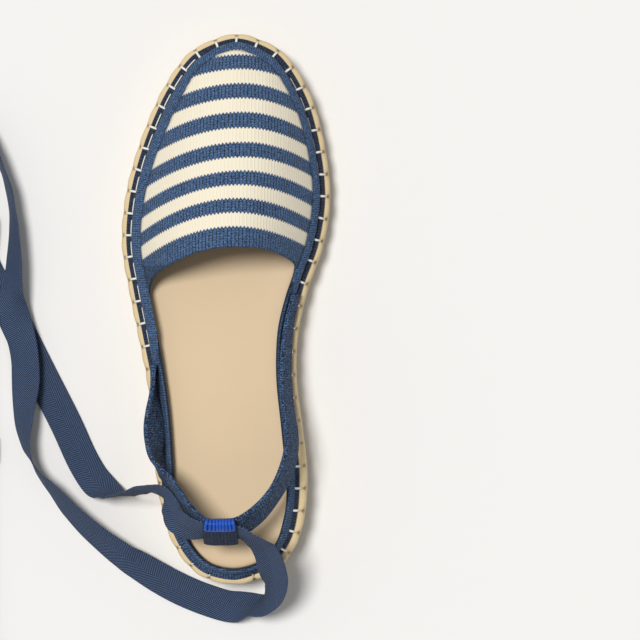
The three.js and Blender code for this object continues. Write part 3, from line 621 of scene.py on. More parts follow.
def vamp_material():
    """Navy knit with cream stripes, whose edges step from wale to wale."""
    g = Graph("striped_knit", 0.92)
    height, across = knit_nodes(g, 1.72, 1.2)
    wave = g.math("ABSOLUTE", g.math("SUBTRACT", g.math("FRACT", across), 0.5))
    tooth = g.math("MULTIPLY_ADD", wave, 2.1 * MM, -0.5 * MM)
    edge = g.math("ADD", g.math("MULTIPLY", g.value("stripe"), MM), tooth)
    cream_share = g.ramp(edge, -0.06 * MM, 0.06 * MM)
    navy = knit_colour(g, height, NAVY_STITCH_SHADE, NAVY, NAVY_STITCH_HIGHLIGHT)
    # painted shade between the cream stitches, by their height
    cream = g.mix(g.ramp(height, -0.9, 0.6), CREAM_SHADE, CREAM)
    colour = g.mix(cream_share, navy, cream)
    # painted shade in the crease beside the roll and on the collar's inner side
    colour = g.mix(g.math("MULTIPLY", g.value("crease_and_collar_shade"), 0.85), colour, PAINTED_SHADE_NAVY)
    # the vamp's inner face under the throat: a guessed lining colour, darkened as painted shade
    colour = g.mix(g.value("lining_and_shade"), colour, LINING_AND_SHADE)
    relief = g.math("MULTIPLY", height, g.math("MULTIPLY_ADD", cream_share, -0.45, 1.0))
    return g.finish(colour, relief, distance=0.0004)


def navy_material(name, wale, course, deep=NAVY_STITCH_SHADE, middle=NAVY, light=NAVY_STITCH_HIGHLIGHT, fleck=2.6):
    g = Graph(name, 0.92)
    height, _ = knit_nodes(g, wale, course)
    return g.finish(knit_colour(g, height, deep, middle, light, fleck), height, distance=0.0003)


def rand_material():
    """Painted shade: dark beside the roll, and lighter, near the collar's own navy, round the back
    of the heel.
    """
    g = Graph("rand_knit", 0.92)
    height, _ = knit_nodes(g, 1.5, 1.5)
    # painted shade in the rand's channel beside the roll
    dark = knit_colour(g, height, srgb(12, 17, 27), srgb(37, 49, 70), srgb(58, 74, 100))
    light = knit_colour(g, height, srgb(12, 22, 40), srgb(50, 74, 108), srgb(84, 112, 150))
    return g.finish(g.mix(g.value("back"), dark, light), height, distance=0.0003)


def sole_material():
    g = Graph("sand_rubber", 0.72)
    tone = g.noise(120, 4.0, rough=0.6)
    grain = g.noise(2600, 3.0, rough=0.65)
    base = g.mix(tone, srgb(228, 207, 166), srgb(219, 197, 154))
    base = g.mix(g.math("MULTIPLY", grain, 0.35), base, srgb(196, 172, 126))
    # painted shade in the stitch holes
    colour = g.mix(g.value("hole_shade"), base, srgb(132, 100, 60))
    return g.finish(colour, g.math("ADD", grain, g.math("MULTIPLY", tone, 0.4)), distance=0.00012)


def footbed_material():
    g = Graph("footbed", 0.6, Sheen_Weight=0.1)
    tone = g.noise(25, 3.0)
    grain = g.noise(1700, 4.0, rough=0.6)
    base = g.mix(tone, srgb(216, 192, 158), srgb(210, 185, 149))
    colour = g.mix(g.math("MULTIPLY", grain, 0.25), base, srgb(197, 171, 133))
    return g.finish(colour, grain, distance=0.00006)


def ribbon_material():
    """Herringbone twill: slanted lines that turn back at the middle of each stripe."""
    g = Graph("herringbone_twill", 0.85)
    u, v = g.uv()
    across = g.math("DIVIDE", u, 7.5 * MM)
    zigzag = g.math("PINGPONG", across, 1.0)
    phase = g.math("ADD", g.math("DIVIDE", v, 1.15 * MM), g.math("MULTIPLY", zigzag, 6.2))
    line = g.math("MULTIPLY_ADD", g.math("SINE", g.math("MULTIPLY", phase, 2 * math.pi)), 0.5, 0.5)
    weft = g.math("SINE", g.math("MULTIPLY", g.math("DIVIDE", v, 0.42 * MM), 2 * math.pi))
    height = g.math("ADD", line, g.math("MULTIPLY", weft, 0.15))
    speck = g.noise(1500, 2.0, rough=0.7)
    tone = g.math("ADD", g.math("MULTIPLY", line, 0.6), g.math("MULTIPLY", speck, 0.5))
    colour = g.mix(g.ramp(tone, 0.25, 0.85), srgb(8, 18, 37), srgb(77, 100, 137))
    return g.finish(colour, height, distance=0.0003)


def thread_material(name, colour, shade, roughness=0.6):
    g = Graph(name, roughness)
    twist = g.noise(2500, 2.0)
    return g.finish(g.mix(twist, shade, colour), twist, distance=0.0001)


def floor_material():
    g = Graph("floor", 0.9)
    return g.finish(srgb(233, 232, 231))


# ---------------------------------------------------------------- sole and footbed


def stitch_places():
    """Distances along the outline from the toe's tip, medial side positive."""
    medial = length_of(MEDIAL_EDGE)
    lateral = length_of(LATERAL_EDGE)
    right = np.arange(0, medial, STITCH_PITCH)
    left = -np.arange(STITCH_PITCH, lateral - STITCH_PITCH / 2, STITCH_PITCH)
    return np.concatenate([right, left])


SOLE_PROFILE = [
    # inset, height above the tread or below the deck, and how deep a stitch hole cuts in
    (3.4, 0.0, None, 0.0),
    (2.2, 0.1, None, 0.0),
    (1.2, 0.6, None, 0.0),
    (0.5, 1.5, None, 0.0),
    (0.15, 2.8, None, 0.0),
    (0.0, 4.4, None, 0.0),
    (0.0, None, 5.6, 0.0),
    (0.0, None, 4.2, 0.1),
    (0.0, None, 3.0, 0.5),
    (0.12, None, 2.1, 0.8),
    (0.4, None, 1.25, 0.8),
    (0.9, None, 0.55, 0.6),
    (1.6, None, 0.12, 0.3),
    (2.4, None, 0.0, 0.1),
    (3.3, None, 0.0, 0.0),
    (6.0, None, 0.0, 0.0),
]
# a stitch hole's half width, how far it cuts in and down, and the edge's scallop between holes
HOLE_WIDTH, HOLE_CUT, HOLE_DROP, SCALLOP = 0.75, 0.95, 0.35, 0.2


def make_sole():
    edge = Edge(560)
    away = np.min(np.abs(edge.along[:, None] - stitch_places()[None, :]), axis=1)
    hole = np.exp(-((away / HOLE_WIDTH) ** 2))
    scallop = SCALLOP * np.cos(away / STITCH_PITCH * 2 * np.pi)
    rings, hole_shade = [], []
    for inset, above, below, deep in SOLE_PROFILE:
        distance = inset + HOLE_CUT * deep * hole
        if below is not None:
            distance = distance + scallop * min(deep + 0.3, 1)
        y = edge.inset(distance)[:, 1]
        if above is None:
            z = deck_height(y) - below - HOLE_DROP * deep * hole
        else:
            z = tread_height(y) + above
        rings.append((distance, z))
        # painted shade in the stitch holes, as strong as the hole cuts in
        hole_shade.append(np.clip(deep * 1.2, 0, 1) * hole)
    points, faces = outline_slab(edge, rings, 12, tread_height, deck_height)
    dark = np.zeros(len(points))
    dark[: len(rings) * len(edge.places)] = np.concatenate(hole_shade)
    sole = make_mesh("outsole", points, faces, sole_material(), values={"hole_shade": dark})
    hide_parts("sole")


# The footbed's face from its rim inwards: distance in, and height over the deck
FOOTBED_PROFILE = [
    (1.2, 0.0), (0.3, 0.3), (0.0, 0.9), (0.0, 2.3), (0.25, 3.0), (0.8, 3.4), (1.6, 3.5),
    (3.0, 3.42), (5.0, 3.25), (8.0, 3.05), (12.0, 2.95),
]


def make_footbed():
    edge = Edge(240)
    rings = []
    for inset, up in FOOTBED_PROFILE:
        distance = INSOLE_INSET + inset
        rings.append((distance, deck_height(edge.inset(distance)[:, 1]) + GAP + up))
    middle = FOOTBED_PROFILE[-1][1]
    points, faces = outline_slab(
        edge, rings, 14, lambda y: deck_height(y) + GAP, lambda y: deck_height(y) + GAP + middle
    )
    bed = make_mesh("footbed", points, faces, footbed_material())
    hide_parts("insole")


# ---------------------------------------------------------------- upper


def course_of(x, y):
    """The knit course that a place on the vamp lies on, by its y where it crosses the ridge."""
    rows = np.array(BOW, float)
    course = y.copy()
    for _ in range(4):
        middle, left, right = (np.interp(course, rows[:, 0], rows[:, k]) for k in (1, 2, 3))
        away = x - middle
        course = y + np.where(away < 0, left, right) * away**2
    return course


def stripe_edge(course):
    """Distance inside the nearest cream stripe's edge, and less than 0 outside it."""
    inside = [width / 2 - np.abs(course - middle) for middle, width in STRIPES]
    return np.max(inside, axis=0)


def wale_table():
    """Distance over the dome from the middle of the foot, on a grid of places."""
    ys = np.arange(-130, 131, 2.0)
    xs = np.arange(-50, 50.1, 0.5)
    gx, gy = np.meshgrid(xs, ys)
    z = last.height(gx, gy) - deck_height(gy)
    steps = np.hypot(np.diff(z, axis=1), 0.5)
    run = np.concatenate([np.zeros((len(ys), 1)), np.cumsum(steps, axis=1)], axis=1)
    middle = int(np.argmin(np.abs(xs - 4.5)))
    return xs, ys, run - run[:, middle:middle + 1]


def table_at(table, x, y):
    """The table's value at places between its own."""
    xs, ys, values = table
    i = np.clip((x - xs[0]) / (xs[1] - xs[0]), 0, len(xs) - 1.001)
    j = np.clip((y - ys[0]) / (ys[1] - ys[0]), 0, len(ys) - 1.001)
    i0, j0 = i.astype(int), j.astype(int)
    a, b = i - i0, j - j0
    low = values[j0, i0] * (1 - a) + values[j0, i0 + 1] * a
    high = values[j0 + 1, i0] * (1 - a) + values[j0 + 1, i0 + 1] * a
    return low * (1 - b) + high * b


# Places on the opening and on the feather line that belong together: the throat's middle, the
# inner corner, the inner heel, the heel, the outer heel and the outer corner. With each goes
# the share of the loop's points that lie between it and the next one.
ANCHORS = [
    ((4, 29), (5.4, 124), 0.30),
    ((33.9, 18.5), (38.5, 24), 0.14),
    ((30.5, -84), (33.6, -84), 0.06),
    ((4.6, -122.4), (4.5, -123.8), 0.06),
    ((-24.2, -84), (-26.6, -84), 0.14),
    ((-36.4, 6), (-41.5, 12), 0.30),
]


def matched_loops(count):
    """The opening and the feather line as loops of the same count, matched at the anchors."""
    loops = (
        spline(OPENING, np.arange(3000) / 3000, closed=True)[::-1],
        Edge(1500).inset(FEATHER_INSET),
    )
    matched = []
    for k, loop in enumerate(loops):
        at = [int(np.argmin(np.sum((loop - np.array(a[k])) ** 2, axis=1))) for a in ANCHORS]
        stretches = []
        for start, stop, (_, _, share) in zip(at, at[1:] + at[:1], ANCHORS):
            if stop <= start:
                stop += len(loop)
            stretch = loop[np.arange(start, stop + 1) % len(loop)]
            stretches.append(even(stretch, round(count * share) + 1)[:-1])
        matched.append(np.vstack(stretches))
    return matched


def smooth_loop(values, times):
    for _ in range(times):
        values = (np.roll(values, 1, axis=0) + 2 * values + np.roll(values, -1, axis=0)) / 4
    return values


UPPER_AROUND, UPPER_ROWS = 700, 62
# rows of the outer face that the inner face repeats
INNER_ROWS = [0, 1, 3, 6, 10, 15, 21, 28, 36, 44, 51, 57, UPPER_ROWS - 1]
# the crease beside the roll, which is dented and painted dark as shade: distance from it, half width
# and depth
CREASE_AWAY, CREASE_WIDTH, CREASE_DEPTH = 0.1, 0.5, 0.7
# painted shade on the collar's inner side, which leans over the footbed: how dark it is
COLLAR_SHADE = 0.95


def make_upper():
    rows = UPPER_ROWS
    rim, feather = matched_loops(UPPER_AROUND)
    # the rows lie closer together towards the feather line
    t = (1 - (1 - np.linspace(0, 1, rows)) ** 1.35)[:, None, None]
    plan = rim[None] * (1 - t) + feather[None] * t
    z = last.height(plan[..., 0], plan[..., 1])
    outer = np.concatenate([plan, z[..., None]], axis=-1)
    out = normals_of(outer)
    if out[..., 2].mean() < 0:
        out = -out
    inner = outer - out * WALL
    inner[0] = outer[0] - smooth_loop(out[0], 6) * WALL
    # the folded rim: a half round from the outer face to the inner one
    middle = (outer[0] + inner[0]) / 2
    away = outer[0] - middle
    tangent = unit(np.roll(middle, -1, axis=0) - np.roll(middle, 1, axis=0))
    lift = unit(np.cross(away, tangent))
    lift *= np.sign(np.sum(lift * (outer[0] - outer[2]), axis=1))[:, None]
    rim_rings = [
        middle + away * math.cos(a) + lift * math.sin(a) * WALL / 2
        for a in np.linspace(0, math.pi, 7)[1:-1]
    ]
    grid = np.array(list(outer[::-1]) + rim_rings + [inner[k] for k in INNER_ROWS])
    inside = np.zeros(grid.shape[:2])
    inside[rows + 2:] = 1
    inside = inside.ravel()
    x, y = grid[..., 0].ravel(), grid[..., 1].ravel()
    course = course_of(x, y)
    stripe = np.where(inside > 0, -3.0, stripe_edge(course))
    # how far in from the feather line a place lies, as seen from above
    pivot_x, pivot_y, ratio, _ = last.place(x, y)
    ratio = np.maximum(ratio, 0.05)
    foot_x, foot_y = pivot_x + (x - pivot_x) / ratio, pivot_y + (y - pivot_y) / ratio
    inward = np.hypot(foot_x - x, foot_y - y) + np.where(ratio < 0.06, 50, 0)
    start, end = piping_span(foot_x, foot_y)
    reach_y = np.where(x > pivot_x, PIPING_ENDS[1], PIPING_ENDS[0])
    beside = (inside == 0) * fade(y, reach_y, 8)
    # the crease beside the roll: a dent, and painted shade in its colour
    crease_and_collar_shade = beside * np.exp(-(((inward - end - CREASE_AWAY) / CREASE_WIDTH) ** 2))
    grid[..., 2] -= (CREASE_DEPTH * crease_and_collar_shade).reshape(grid.shape[:2])
    # painted shade on the collar's inner side, added to the crease's mask
    crease_and_collar_shade = np.maximum(crease_and_collar_shade, COLLAR_SHADE * inside * fade(y, 18, -8))
    # where the vamp's inner face gets the lining colour, darkened as painted shade
    lining_and_shade = inside * fade(y, 22, 8)
    stripe = np.where(beside > 0, np.minimum(stripe, inward - (start + end) / 2), stripe)
    # round the collar and the heel the courses follow the height of the wall
    wale = table_at(wale_table(), x, y)
    height = grid[..., 2].ravel() - deck_height(y)
    collar = fade(y, 20, -10)
    across = wale * (1 - collar) + 1.5 * y * collar
    along = course * (1 - collar) + height * collar
    faces = grid_faces(len(grid), UPPER_AROUND, wrap_rows=True)
    upper = make_mesh("knit_upper", grid.reshape(-1, 3), faces, vamp_material(),
                      uv=np.column_stack([across, along]),
                      values={"stripe": stripe, "crease_and_collar_shade": crease_and_collar_shade, "lining_and_shade": lining_and_shade})
    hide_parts("upper")


def heel_shift(edge):
    """How much further in the rand lies at each place of the edge."""
    return HEEL_SHIFT * fade(edge.places[:, 1], -45, -20) * fade(edge.places[:, 0], 4.5, 14)


# The rand's section: inset, and height over the deck
RAND_PROFILE = [
    (6.6, 0.1), (3.0, 0.1), (2.6, 0.35), (2.45, 0.9), (2.6, 1.5), (3.0, 1.95), (3.8, 2.2),
    (5.2, 2.3), (6.6, 2.2),
]


def make_rand():
    """The upper's turned-out edge on the sole."""
    edge = Edge(520)
    shift = heel_shift(edge)
    rings = []
    for inset, up in RAND_PROFILE:
        place = edge.inset(inset + shift * (inset < 5))
        rings.append(np.column_stack([place, deck_height(place[:, 1]) + GAP * 0.5 + up]))
    grid = np.array(rings)
    rows, ring = grid.shape[:2]
    around = np.tile(edge.along, (rows, 1))
    across = np.repeat(np.linspace(0, 8, rows)[:, None], ring, axis=1)
    uv = np.stack([around, across], axis=-1).reshape(-1, 2)
    points = grid.reshape(-1, 3)
    # round the back of the heel the rand takes the lighter copy, with less painted shade
    back = fade(points[:, 1], -80, -20) * fade(points[:, 0], 16, -16)
    make_mesh("rand", points, grid_faces(rows, ring, wrap_rows=True),
              rand_material(), uv=uv, values={"back": back})


# y of the roll's ends on the lateral and the medial side, and its lowest height on the wall
PIPING_ENDS = (-31.0, 3.0)
PIPING_LOW = 0.2
# y, width of the roll as seen from above and its distance in from the feather line, on the
# lateral and on the medial side
PIPING_ROWS = [
    (-30, 2.4, 0.2, 2.4, 0.0),
    (-10, 4.2, 0.0, 2.4, 0.0),
    (60, 4.6, 0.0, 2.6, 0.0),
    (78, 4.6, 0.6, 3.2, 0.0),
    (90, 4.6, 1.6, 3.8, 0.2),
    (104, 4.4, 2.3, 4.0, 0.6),
    (114, 4.0, 1.7, 3.8, 0.6),
    (120, 3.3, 0.7, 3.3, 0.3),
    (124, 2.7, 0.0, 2.7, 0.0),
]


def feather_run(step):
    """The feather line from the piping's lateral end, round the toe, to its medial end."""
    edge = Edge(1500)
    loop = edge.inset(FEATHER_INSET)
    medial = loop[: edge.half + 1]
    lateral = loop[edge.half:]
    left = lateral[lateral[:, 1] > PIPING_ENDS[0]]
    right = medial[medial[:, 1] > PIPING_ENDS[1]]
    run = np.vstack([left, right])
    return even(run, int(length_of(run) / step))


def piping_span(x, y):
    """Where the roll starts and ends, as distances in from the feather line seen from above."""
    rows = np.array(PIPING_ROWS, float)
    medial = x > last.place(x, y)[0]
    columns = [np.interp(y, rows[:, 0], rows[:, k]) for k in (1, 2, 3, 4)]
    width = np.where(medial, columns[2], columns[0])
    start = np.where(medial, columns[3], columns[1])
    return start, start + width


def wall_height(x, y, inward):
    """How high the dome stands over its foot, that far in from the feather line."""
    pivot_x, pivot_y, _, endwise = last.place(x, y)
    p, q = last.powers(endwise)
    far = np.hypot(x - pivot_x, y - pivot_y)
    return crown_at(pivot_y, 1) * np.maximum(1 - (1 - inward / far) ** p, 0) ** (1 / q)


def make_piping():
    run = feather_run(1.0)
    share = np.linspace(0, 1, 19)
    x, y = run[:, 0], run[:, 1]
    start, end = piping_span(x, y)
    # the roll narrows and flattens at its two ends
    from_end = np.minimum(np.arange(len(run)), np.arange(len(run))[::-1])
    taper = 1 - 0.72 * np.exp(-((from_end / 9.0) ** 2))
    slim = 1 - 0.7 * np.exp(-((from_end / 5.0) ** 2))
    low = np.maximum(wall_height(x, y, start), PIPING_LOW)
    high = low + (wall_height(x, y, end) - low) * taper
    heights = low[None, :] * (1 - share[:, None]) + high[None, :] * share[:, None]
    base = np.array([last.wall_point(x, y, h) for h in heights]).transpose(1, 0, 2)
    up = np.gradient(base, axis=1)
    flat = np.hypot(up[..., 0], up[..., 1])
    out = unit(np.stack([
        -up[..., 0] / flat * up[..., 2], -up[..., 1] / flat * up[..., 2], flat
    ], axis=-1))
    swell = -0.6 + 2.2 * (1 - np.abs(2 * share - 1) ** 2.2)
    over = base + out * (swell[None, :] * slim[:, None])[..., None]
    under = base[:, ::-1] - out[:, ::-1] * 0.8
    grid = np.concatenate([over, under], axis=1)
    round_it = np.concatenate([share * 15, 15 + share * 15])
    uv = np.stack(np.meshgrid(distances(run), round_it, indexing="ij"), axis=-1).reshape(-1, 2)
    piping = make_mesh("piping_roll", grid.reshape(-1, 3), tube_faces(*grid.shape[:2]),
                       navy_material("piping_knit", 1.1, 1.3), uv=uv, flip=True)
    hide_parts("piping")


# ---------------------------------------------------------------- strap and keeper


strap_top = [row[0] for row in STRAP]
strap_low = [row[1] for row in STRAP]


def strap_point(t, v, out):
    """A place on the strap: t along it, v from its top edge (0) to its low edge (1), and its
    distance out from the middle of the knit."""
    t, v, out = np.broadcast_arrays(np.asarray(t, float), v, out)
    top, low = spline(strap_top, t), spline(strap_low, t)
    a, b = np.maximum(t - 0.005, 0), np.minimum(t + 0.005, 1)
    along = spline(strap_top, b) + spline(strap_low, b) - spline(strap_top, a) - spline(strap_low, a)
    normal = unit(np.cross(low - top, along))
    return top + (low - top) * v[..., None] + normal * out[..., None]


def rounded_section(width, thickness):
    """A flat band's section as (v from 0 to 1, out), with rounded edges."""
    r = thickness / 2
    angle = np.linspace(-math.pi / 2, math.pi / 2, 9)[1:-1]
    v_flat = np.linspace(r, width - r, 13)
    face = [(v, r) for v in v_flat]
    end = [(width - r + r * math.cos(a), -r * math.sin(a)) for a in angle]
    back = [(v, -r) for v in v_flat[::-1]]
    start = [(r - r * math.cos(a), r * math.sin(a)) for a in angle]
    section = np.array(face + end + back + start)
    section[:, 0] /= width
    return section


def swept_band(name, t, section, height, material, puff=0.0):
    """A knit band that follows the strap with that section, puffed out along its middle."""
    v, out = section[:, 0], section[:, 1]
    out = out + puff * np.sign(out) * np.sin(np.pi * np.clip(v, 0, 1)) ** 2
    grid = strap_point(t[:, None], v, out)
    along, across = distances(grid.mean(axis=1)), distances(section * (height, 1))
    uv = np.stack(np.meshgrid(along, across, indexing="ij"), axis=-1).reshape(-1, 2)
    return make_mesh(name, grid.reshape(-1, 3), tube_faces(len(t), len(section)),
                     material, uv=uv)


def make_strap():
    section = rounded_section(STRAP_WIDTH, STRAP_THICKNESS)
    section[:, 0] *= 1.06
    knit = navy_material("strap_knit", 1.2, 1.3, srgb(8, 17, 34), srgb(40, 65, 100),
                         srgb(90, 122, 164), fleck=5.5)
    strap = swept_band("sling_strap", np.linspace(0, 1, 300), section, STRAP_WIDTH, knit, puff=0.15)
    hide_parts("slingback")


# the keeper's height over the strap, and how many threads its bar tack has
KEEPER_HEIGHT, TACK_THREADS = 17, 9


def make_keeper():
    """The knit tunnel on the strap's outer face, with its blue bar tack."""
    middle = LOOP_MIDDLE / (len(STRAP) - 1)
    here, ahead = spline(strap_top, np.array([middle, middle + 0.01]))
    span = (LOOP_HALF + 0.5) / (np.linalg.norm(ahead - here) / 0.01)
    face = STRAP_THICKNESS / 2
    plate = face + GAP + LOOP_CLEAR + LOOP_PLATE / 2
    # the middle of the plate and its lips: places across the strap, and distances out
    path = [(-0.075, face - 0.4), (-0.085, face + 0.8), (-0.06, plate - 0.5), (-0.02, plate),
            (0.25, plate + 0.15), (0.5, plate + 0.2), (0.75, plate + 0.15),
            (1.02, plate), (1.06, plate - 0.5), (1.085, face + 0.8), (1.075, face - 0.4)]
    line = spline(np.array(path) * (KEEPER_HEIGHT, 1), np.linspace(0, 1, 40))
    step = unit(np.gradient(line, axis=0))
    side = np.column_stack([-step[:, 1], step[:, 0]]) * LOOP_PLATE / 2
    section = np.vstack([line + side, (line - side)[::-1]])
    section[:, 0] /= KEEPER_HEIGHT
    knit = navy_material("keeper_knit", 1.5, 1.2, srgb(8, 14, 28), srgb(21, 35, 60),
                         srgb(50, 70, 104), fleck=4.0)
    t = np.linspace(middle - span, middle + span, 26)
    keeper = swept_band("keeper_loop", t, section, KEEPER_HEIGHT, knit)
    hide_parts("heel_loop")
    # the tack's threads wrap over the plate's top edge, and two rows cross them
    wrap = spline([
        (-0.07, face - 0.2), (-0.13, face + 0.8), (-0.125, plate - 0.5), (-0.06, plate + 0.45),
        (0.02, plate + 0.75), (0.1, plate + 0.8), (0.15, plate + 0.35),
    ], np.linspace(0, 1, 14))
    threads = []
    for k in range(TACK_THREADS):
        tk = middle + span * 0.97 * ((2 * k + 1) / TACK_THREADS - 1)
        threads.append(tube(strap_point(tk, wrap[:, 0], wrap[:, 1]), 0.82, 8))
    for v, out in wrap[[4, 12]]:
        tt = np.linspace(middle - span * 0.95, middle + span * 0.95, 24)
        threads.append(tube(strap_point(tt, v, out + 0.35), 0.4, 6))
    points, faces = joined(threads)
    blue = thread_material("blue_thread", srgb(6, 92, 204), srgb(4, 52, 144), 0.5)
    make_mesh("bar_tack", points, faces, blue)


# ---------------------------------------------------------------- hand stitching


# A stitch from its hole in the sole over the rand: inset, and height over the deck
STITCH_PROFILE = [
    (1.8, -0.7), (2.15, 0.4), (2.5, 1.2), (3.0, 2.2), (3.7, 2.75), (4.5, 2.9), (5.2, 3.1),
    (5.8, 3.3),
]
# how much of a stitch shows below the rim
UNDER_RIM_STEPS = 4
# the running thread: spans of the outline with it, and its inset and height over the deck
RUNNING_SPANS = ((-190, -24), (36, 150))
RUNNING_INSET, RUNNING_HEIGHT = 4.85, 2.95


def make_stitches():
    """White thread: a bar over the rand at each hole, and a running line along the roll."""
    edge = Edge(2000)
    thread = thread_material("white_thread", srgb(250, 248, 240), srgb(222, 216, 200))
    shift = heel_shift(edge)
    rng = np.random.default_rng(4)
    steps = len(STITCH_PROFILE)
    bars, lines = [], []
    for s in stitch_places():
        k = int(np.argmin(np.abs(edge.along - s)))
        x, y = edge.places[k]
        if UNDER_STRAP[0] < y < UNDER_STRAP[1] and s < 0:
            continue
        lean = rng.uniform(-0.25, 0.25)
        under_rim = x < HEEL_RIM[0] and y < HEEL_RIM[1]
        sideways = np.array([edge.inward[k][1], -edge.inward[k][0]])
        path = []
        for i, (inset, up) in enumerate(STITCH_PROFILE[:UNDER_RIM_STEPS if under_rim else steps]):
            place = edge.places[k] + edge.inward[k] * (inset + shift[k] * 0.8)
            place = place + sideways * lean * (i / (steps - 1) - 0.5) * 2
            path.append((*place, deck_height(place[1]) + up))
        bars.append(tube(spline(path, np.linspace(0, 1, 14)), 0.4 if under_rim else 0.55, 8))
    for s in stitch_places():
        if not any(start < s < stop for start, stop in RUNNING_SPANS):
            continue
        lateral = s < 0
        run = s + (0.4 if lateral else -0.4)
        run = run + np.linspace(0, 1, 12) * STITCH_PITCH * (0.68 if lateral else -0.6)
        index = [int(np.argmin(np.abs(edge.along - r))) for r in run]
        place = edge.places[index] + edge.inward[index] * RUNNING_INSET
        z = deck_height(place[:, 1]) + RUNNING_HEIGHT - 0.5 * np.linspace(1, -1, 12) ** 8
        lines.append(tube(np.column_stack([place, z]), 0.3 if lateral else 0.2, 6))
    for name, parts in (("blanket_stitches", bars), ("running_line", lines)):
        points, faces = joined(parts)
        make_mesh(name, points, faces, thread)


# ---------------------------------------------------------------- ribbon ties

UP = (0.0, 0.0, 1.0)
# lowest height of the ribbon's middle over the floor
TIE_LOWEST = 0.65
# A fold at the end of a hank: distance back from its end, height over the lower run, and how
# far it has moved across to the next run
FOLD = [
    (18, 0.0, 0.0), (8, 0.1, 0.0), (2.4, 1.0, 0.0), (0.0, 2.4, 0.0), (1.4, 3.8, 0.0),
    (5.5, 4.4, 0.0), (12, 3.5, 0.15), (22, 2.0, 0.6), (36, 1.1, 1.0),
]


def tie_lines(route, hank_rows):
    """The ribbon's centre line and the direction across it, from the keeper to its bare end.
    hank_rows are x, y, z of its centre in the hank, where it lies flat."""
    rows = np.array(route, float)
    turn = np.radians(rows[:, 3])
    centres = np.column_stack([rows[:, :2], rows[:, 2] + TIE_WIDTH / 2 * np.abs(np.sin(turn))])
    t = np.linspace(0, 1, 560)
    middle = spline(centres, t)
    along = spline(centres, np.minimum(t + 1e-3, 1)) - spline(centres, np.maximum(t - 1e-3, 0))
    along = unit(along)
    roll = spline(turn[:, None], t, tension=0.3)
    side = unit(np.cross(along, UP))
    across = side * np.cos(roll) + np.cross(side, along) * np.sin(roll)
    # in the hank the direction across is carried along from place to place, and turns flat
    tail = even(spline(np.vstack([middle[-1:], hank_rows]), np.linspace(0, 1, 700)), 700)[1:]
    carried = across[-1]
    tail_across = []
    for ahead in unit(np.gradient(tail, axis=0)):
        carried = carried - ahead * (carried @ ahead)
        flat = np.cross(ahead, UP)
        if np.linalg.norm(flat) > 0.8:
            carried = carried + 0.1 * flat * np.sign(carried @ flat)
        carried = carried / np.linalg.norm(carried)
        tail_across.append(carried)
    middle = np.vstack([middle, tail])
    across = np.vstack([across, tail_across])
    far = distances(middle)
    middle[:, 2] = np.maximum(middle[:, 2], TIE_LOWEST)
    keep = far <= TIE_LENGTH / MM
    return middle[keep], across[keep], far[keep]


# The ribbon's section, one face: place across (-1 to 1) and share of the half thickness
TIE_SECTION = [
    (-1, 0.55), (-0.93, 1.0), (-0.8, 0.8), (-0.5, 0.75), (-0.2, 0.75), (0, 0.7), (0.2, 0.75),
    (0.5, 0.75), (0.8, 0.8), (0.93, 1.0), (1, 0.55),
]


def make_tie(name, node, hank_node, band, route, hank_rows, material):
    middle, across, far = tie_lines(route, hank_rows)
    along = unit(np.gradient(middle, axis=0))
    across = unit(across - along * np.sum(across * along, axis=1)[:, None])
    normal = np.cross(along, across)
    section = np.array(TIE_SECTION + [(a, -b) for a, b in TIE_SECTION[::-1]])
    section *= (TIE_WIDTH / 2, TIE_THICKNESS / 2)
    grid = np.stack([middle + across * a + normal * b for a, b in section], axis=1)
    rows, ring = grid.shape[:2]
    uv = np.stack([
        np.tile(section[:, 0] + TIE_WIDTH / 2, (rows, 1)),
        np.repeat(far[:, None], ring, axis=1),
    ], axis=-1).reshape(-1, 2)
    tie = make_mesh(name, grid.reshape(-1, 3), tube_faces(rows, ring), material,
                    uv=uv, flip=True)
    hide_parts(node, hank_node)
    path = middle[::4] * MM
    [tuple(p) for p in path]


def fold_rows(end_y, toward, x0, x1, z0):
    """The ribbon's middle through a fold, whose end is at end_y, from the run at x0 to x1."""
    return [(x0 + (x1 - x0) * share, end_y - toward * back, z0 + up) for back, up, share in FOLD]


OUTER_HANK_X, OUTER_HANK_Y = -124.3, (-180.0, 47.0)
INNER_HANK_X, INNER_HANK_Y = -160.0, (-111.0, 116.0)
# room left at a hank's ends, and how far each run lies beside and over the one before it
HANK_ROOM, SHINGLE, RUN_STEP = 3, 6.9, 1.1


def hank_rows_outer():
    low, high = OUTER_HANK_Y[0] + HANK_ROOM, OUTER_HANK_Y[1] - HANK_ROOM
    x = [OUTER_HANK_X + SHINGLE, OUTER_HANK_X, OUTER_HANK_X - SHINGLE]
    z = [0.9 + RUN_STEP * k for k in range(4)]
    rows = [(-113.6, 17.5, 1.0)]
    rows += fold_rows(high, 1, x[0] + 1, x[0], z[0])
    rows += [(x[0], y, z[1]) for y in (0, -60, -120)]
    rows += fold_rows(low, -1, x[0], x[1], z[1])
    rows += [(x[1], y, z[2]) for y in (-120, -60, 0)]
    rows += fold_rows(high, 1, x[1], x[2], z[2])
    rows += [(x[2], y, z[3]) for y in (0, -60, -120, -170)]
    return rows


def hank_rows_inner():
    low = INNER_HANK_Y[0] + HANK_ROOM
    x = [INNER_HANK_X + SHINGLE / 2, INNER_HANK_X - SHINGLE / 2]
    z = [1.3, 1.3 + RUN_STEP]
    rows = [(-147.0, 98.2, 1.6), (-152.2, 95.2, z[0]), (-155.6, 88.8, z[0]), (x[0], 80.0, z[0])]
    rows += [(x[0], y, z[0]) for y in (40, 0, -40, -80)]
    rows += fold_rows(low, -1, x[0], x[1], z[0])
    rows += [(x[1], y, z[1]) for y in (-70, 0, 70, 105)]
    return rows


# A band's section: half its width, its low and high side, its corners' radius and thickness
BAND_HALF, BAND_LOW, BAND_HIGH, BAND_CORNER, BAND_WALL = 15.4, 0.2, 6.4, 1.6, 0.75
BAND_RING = 72
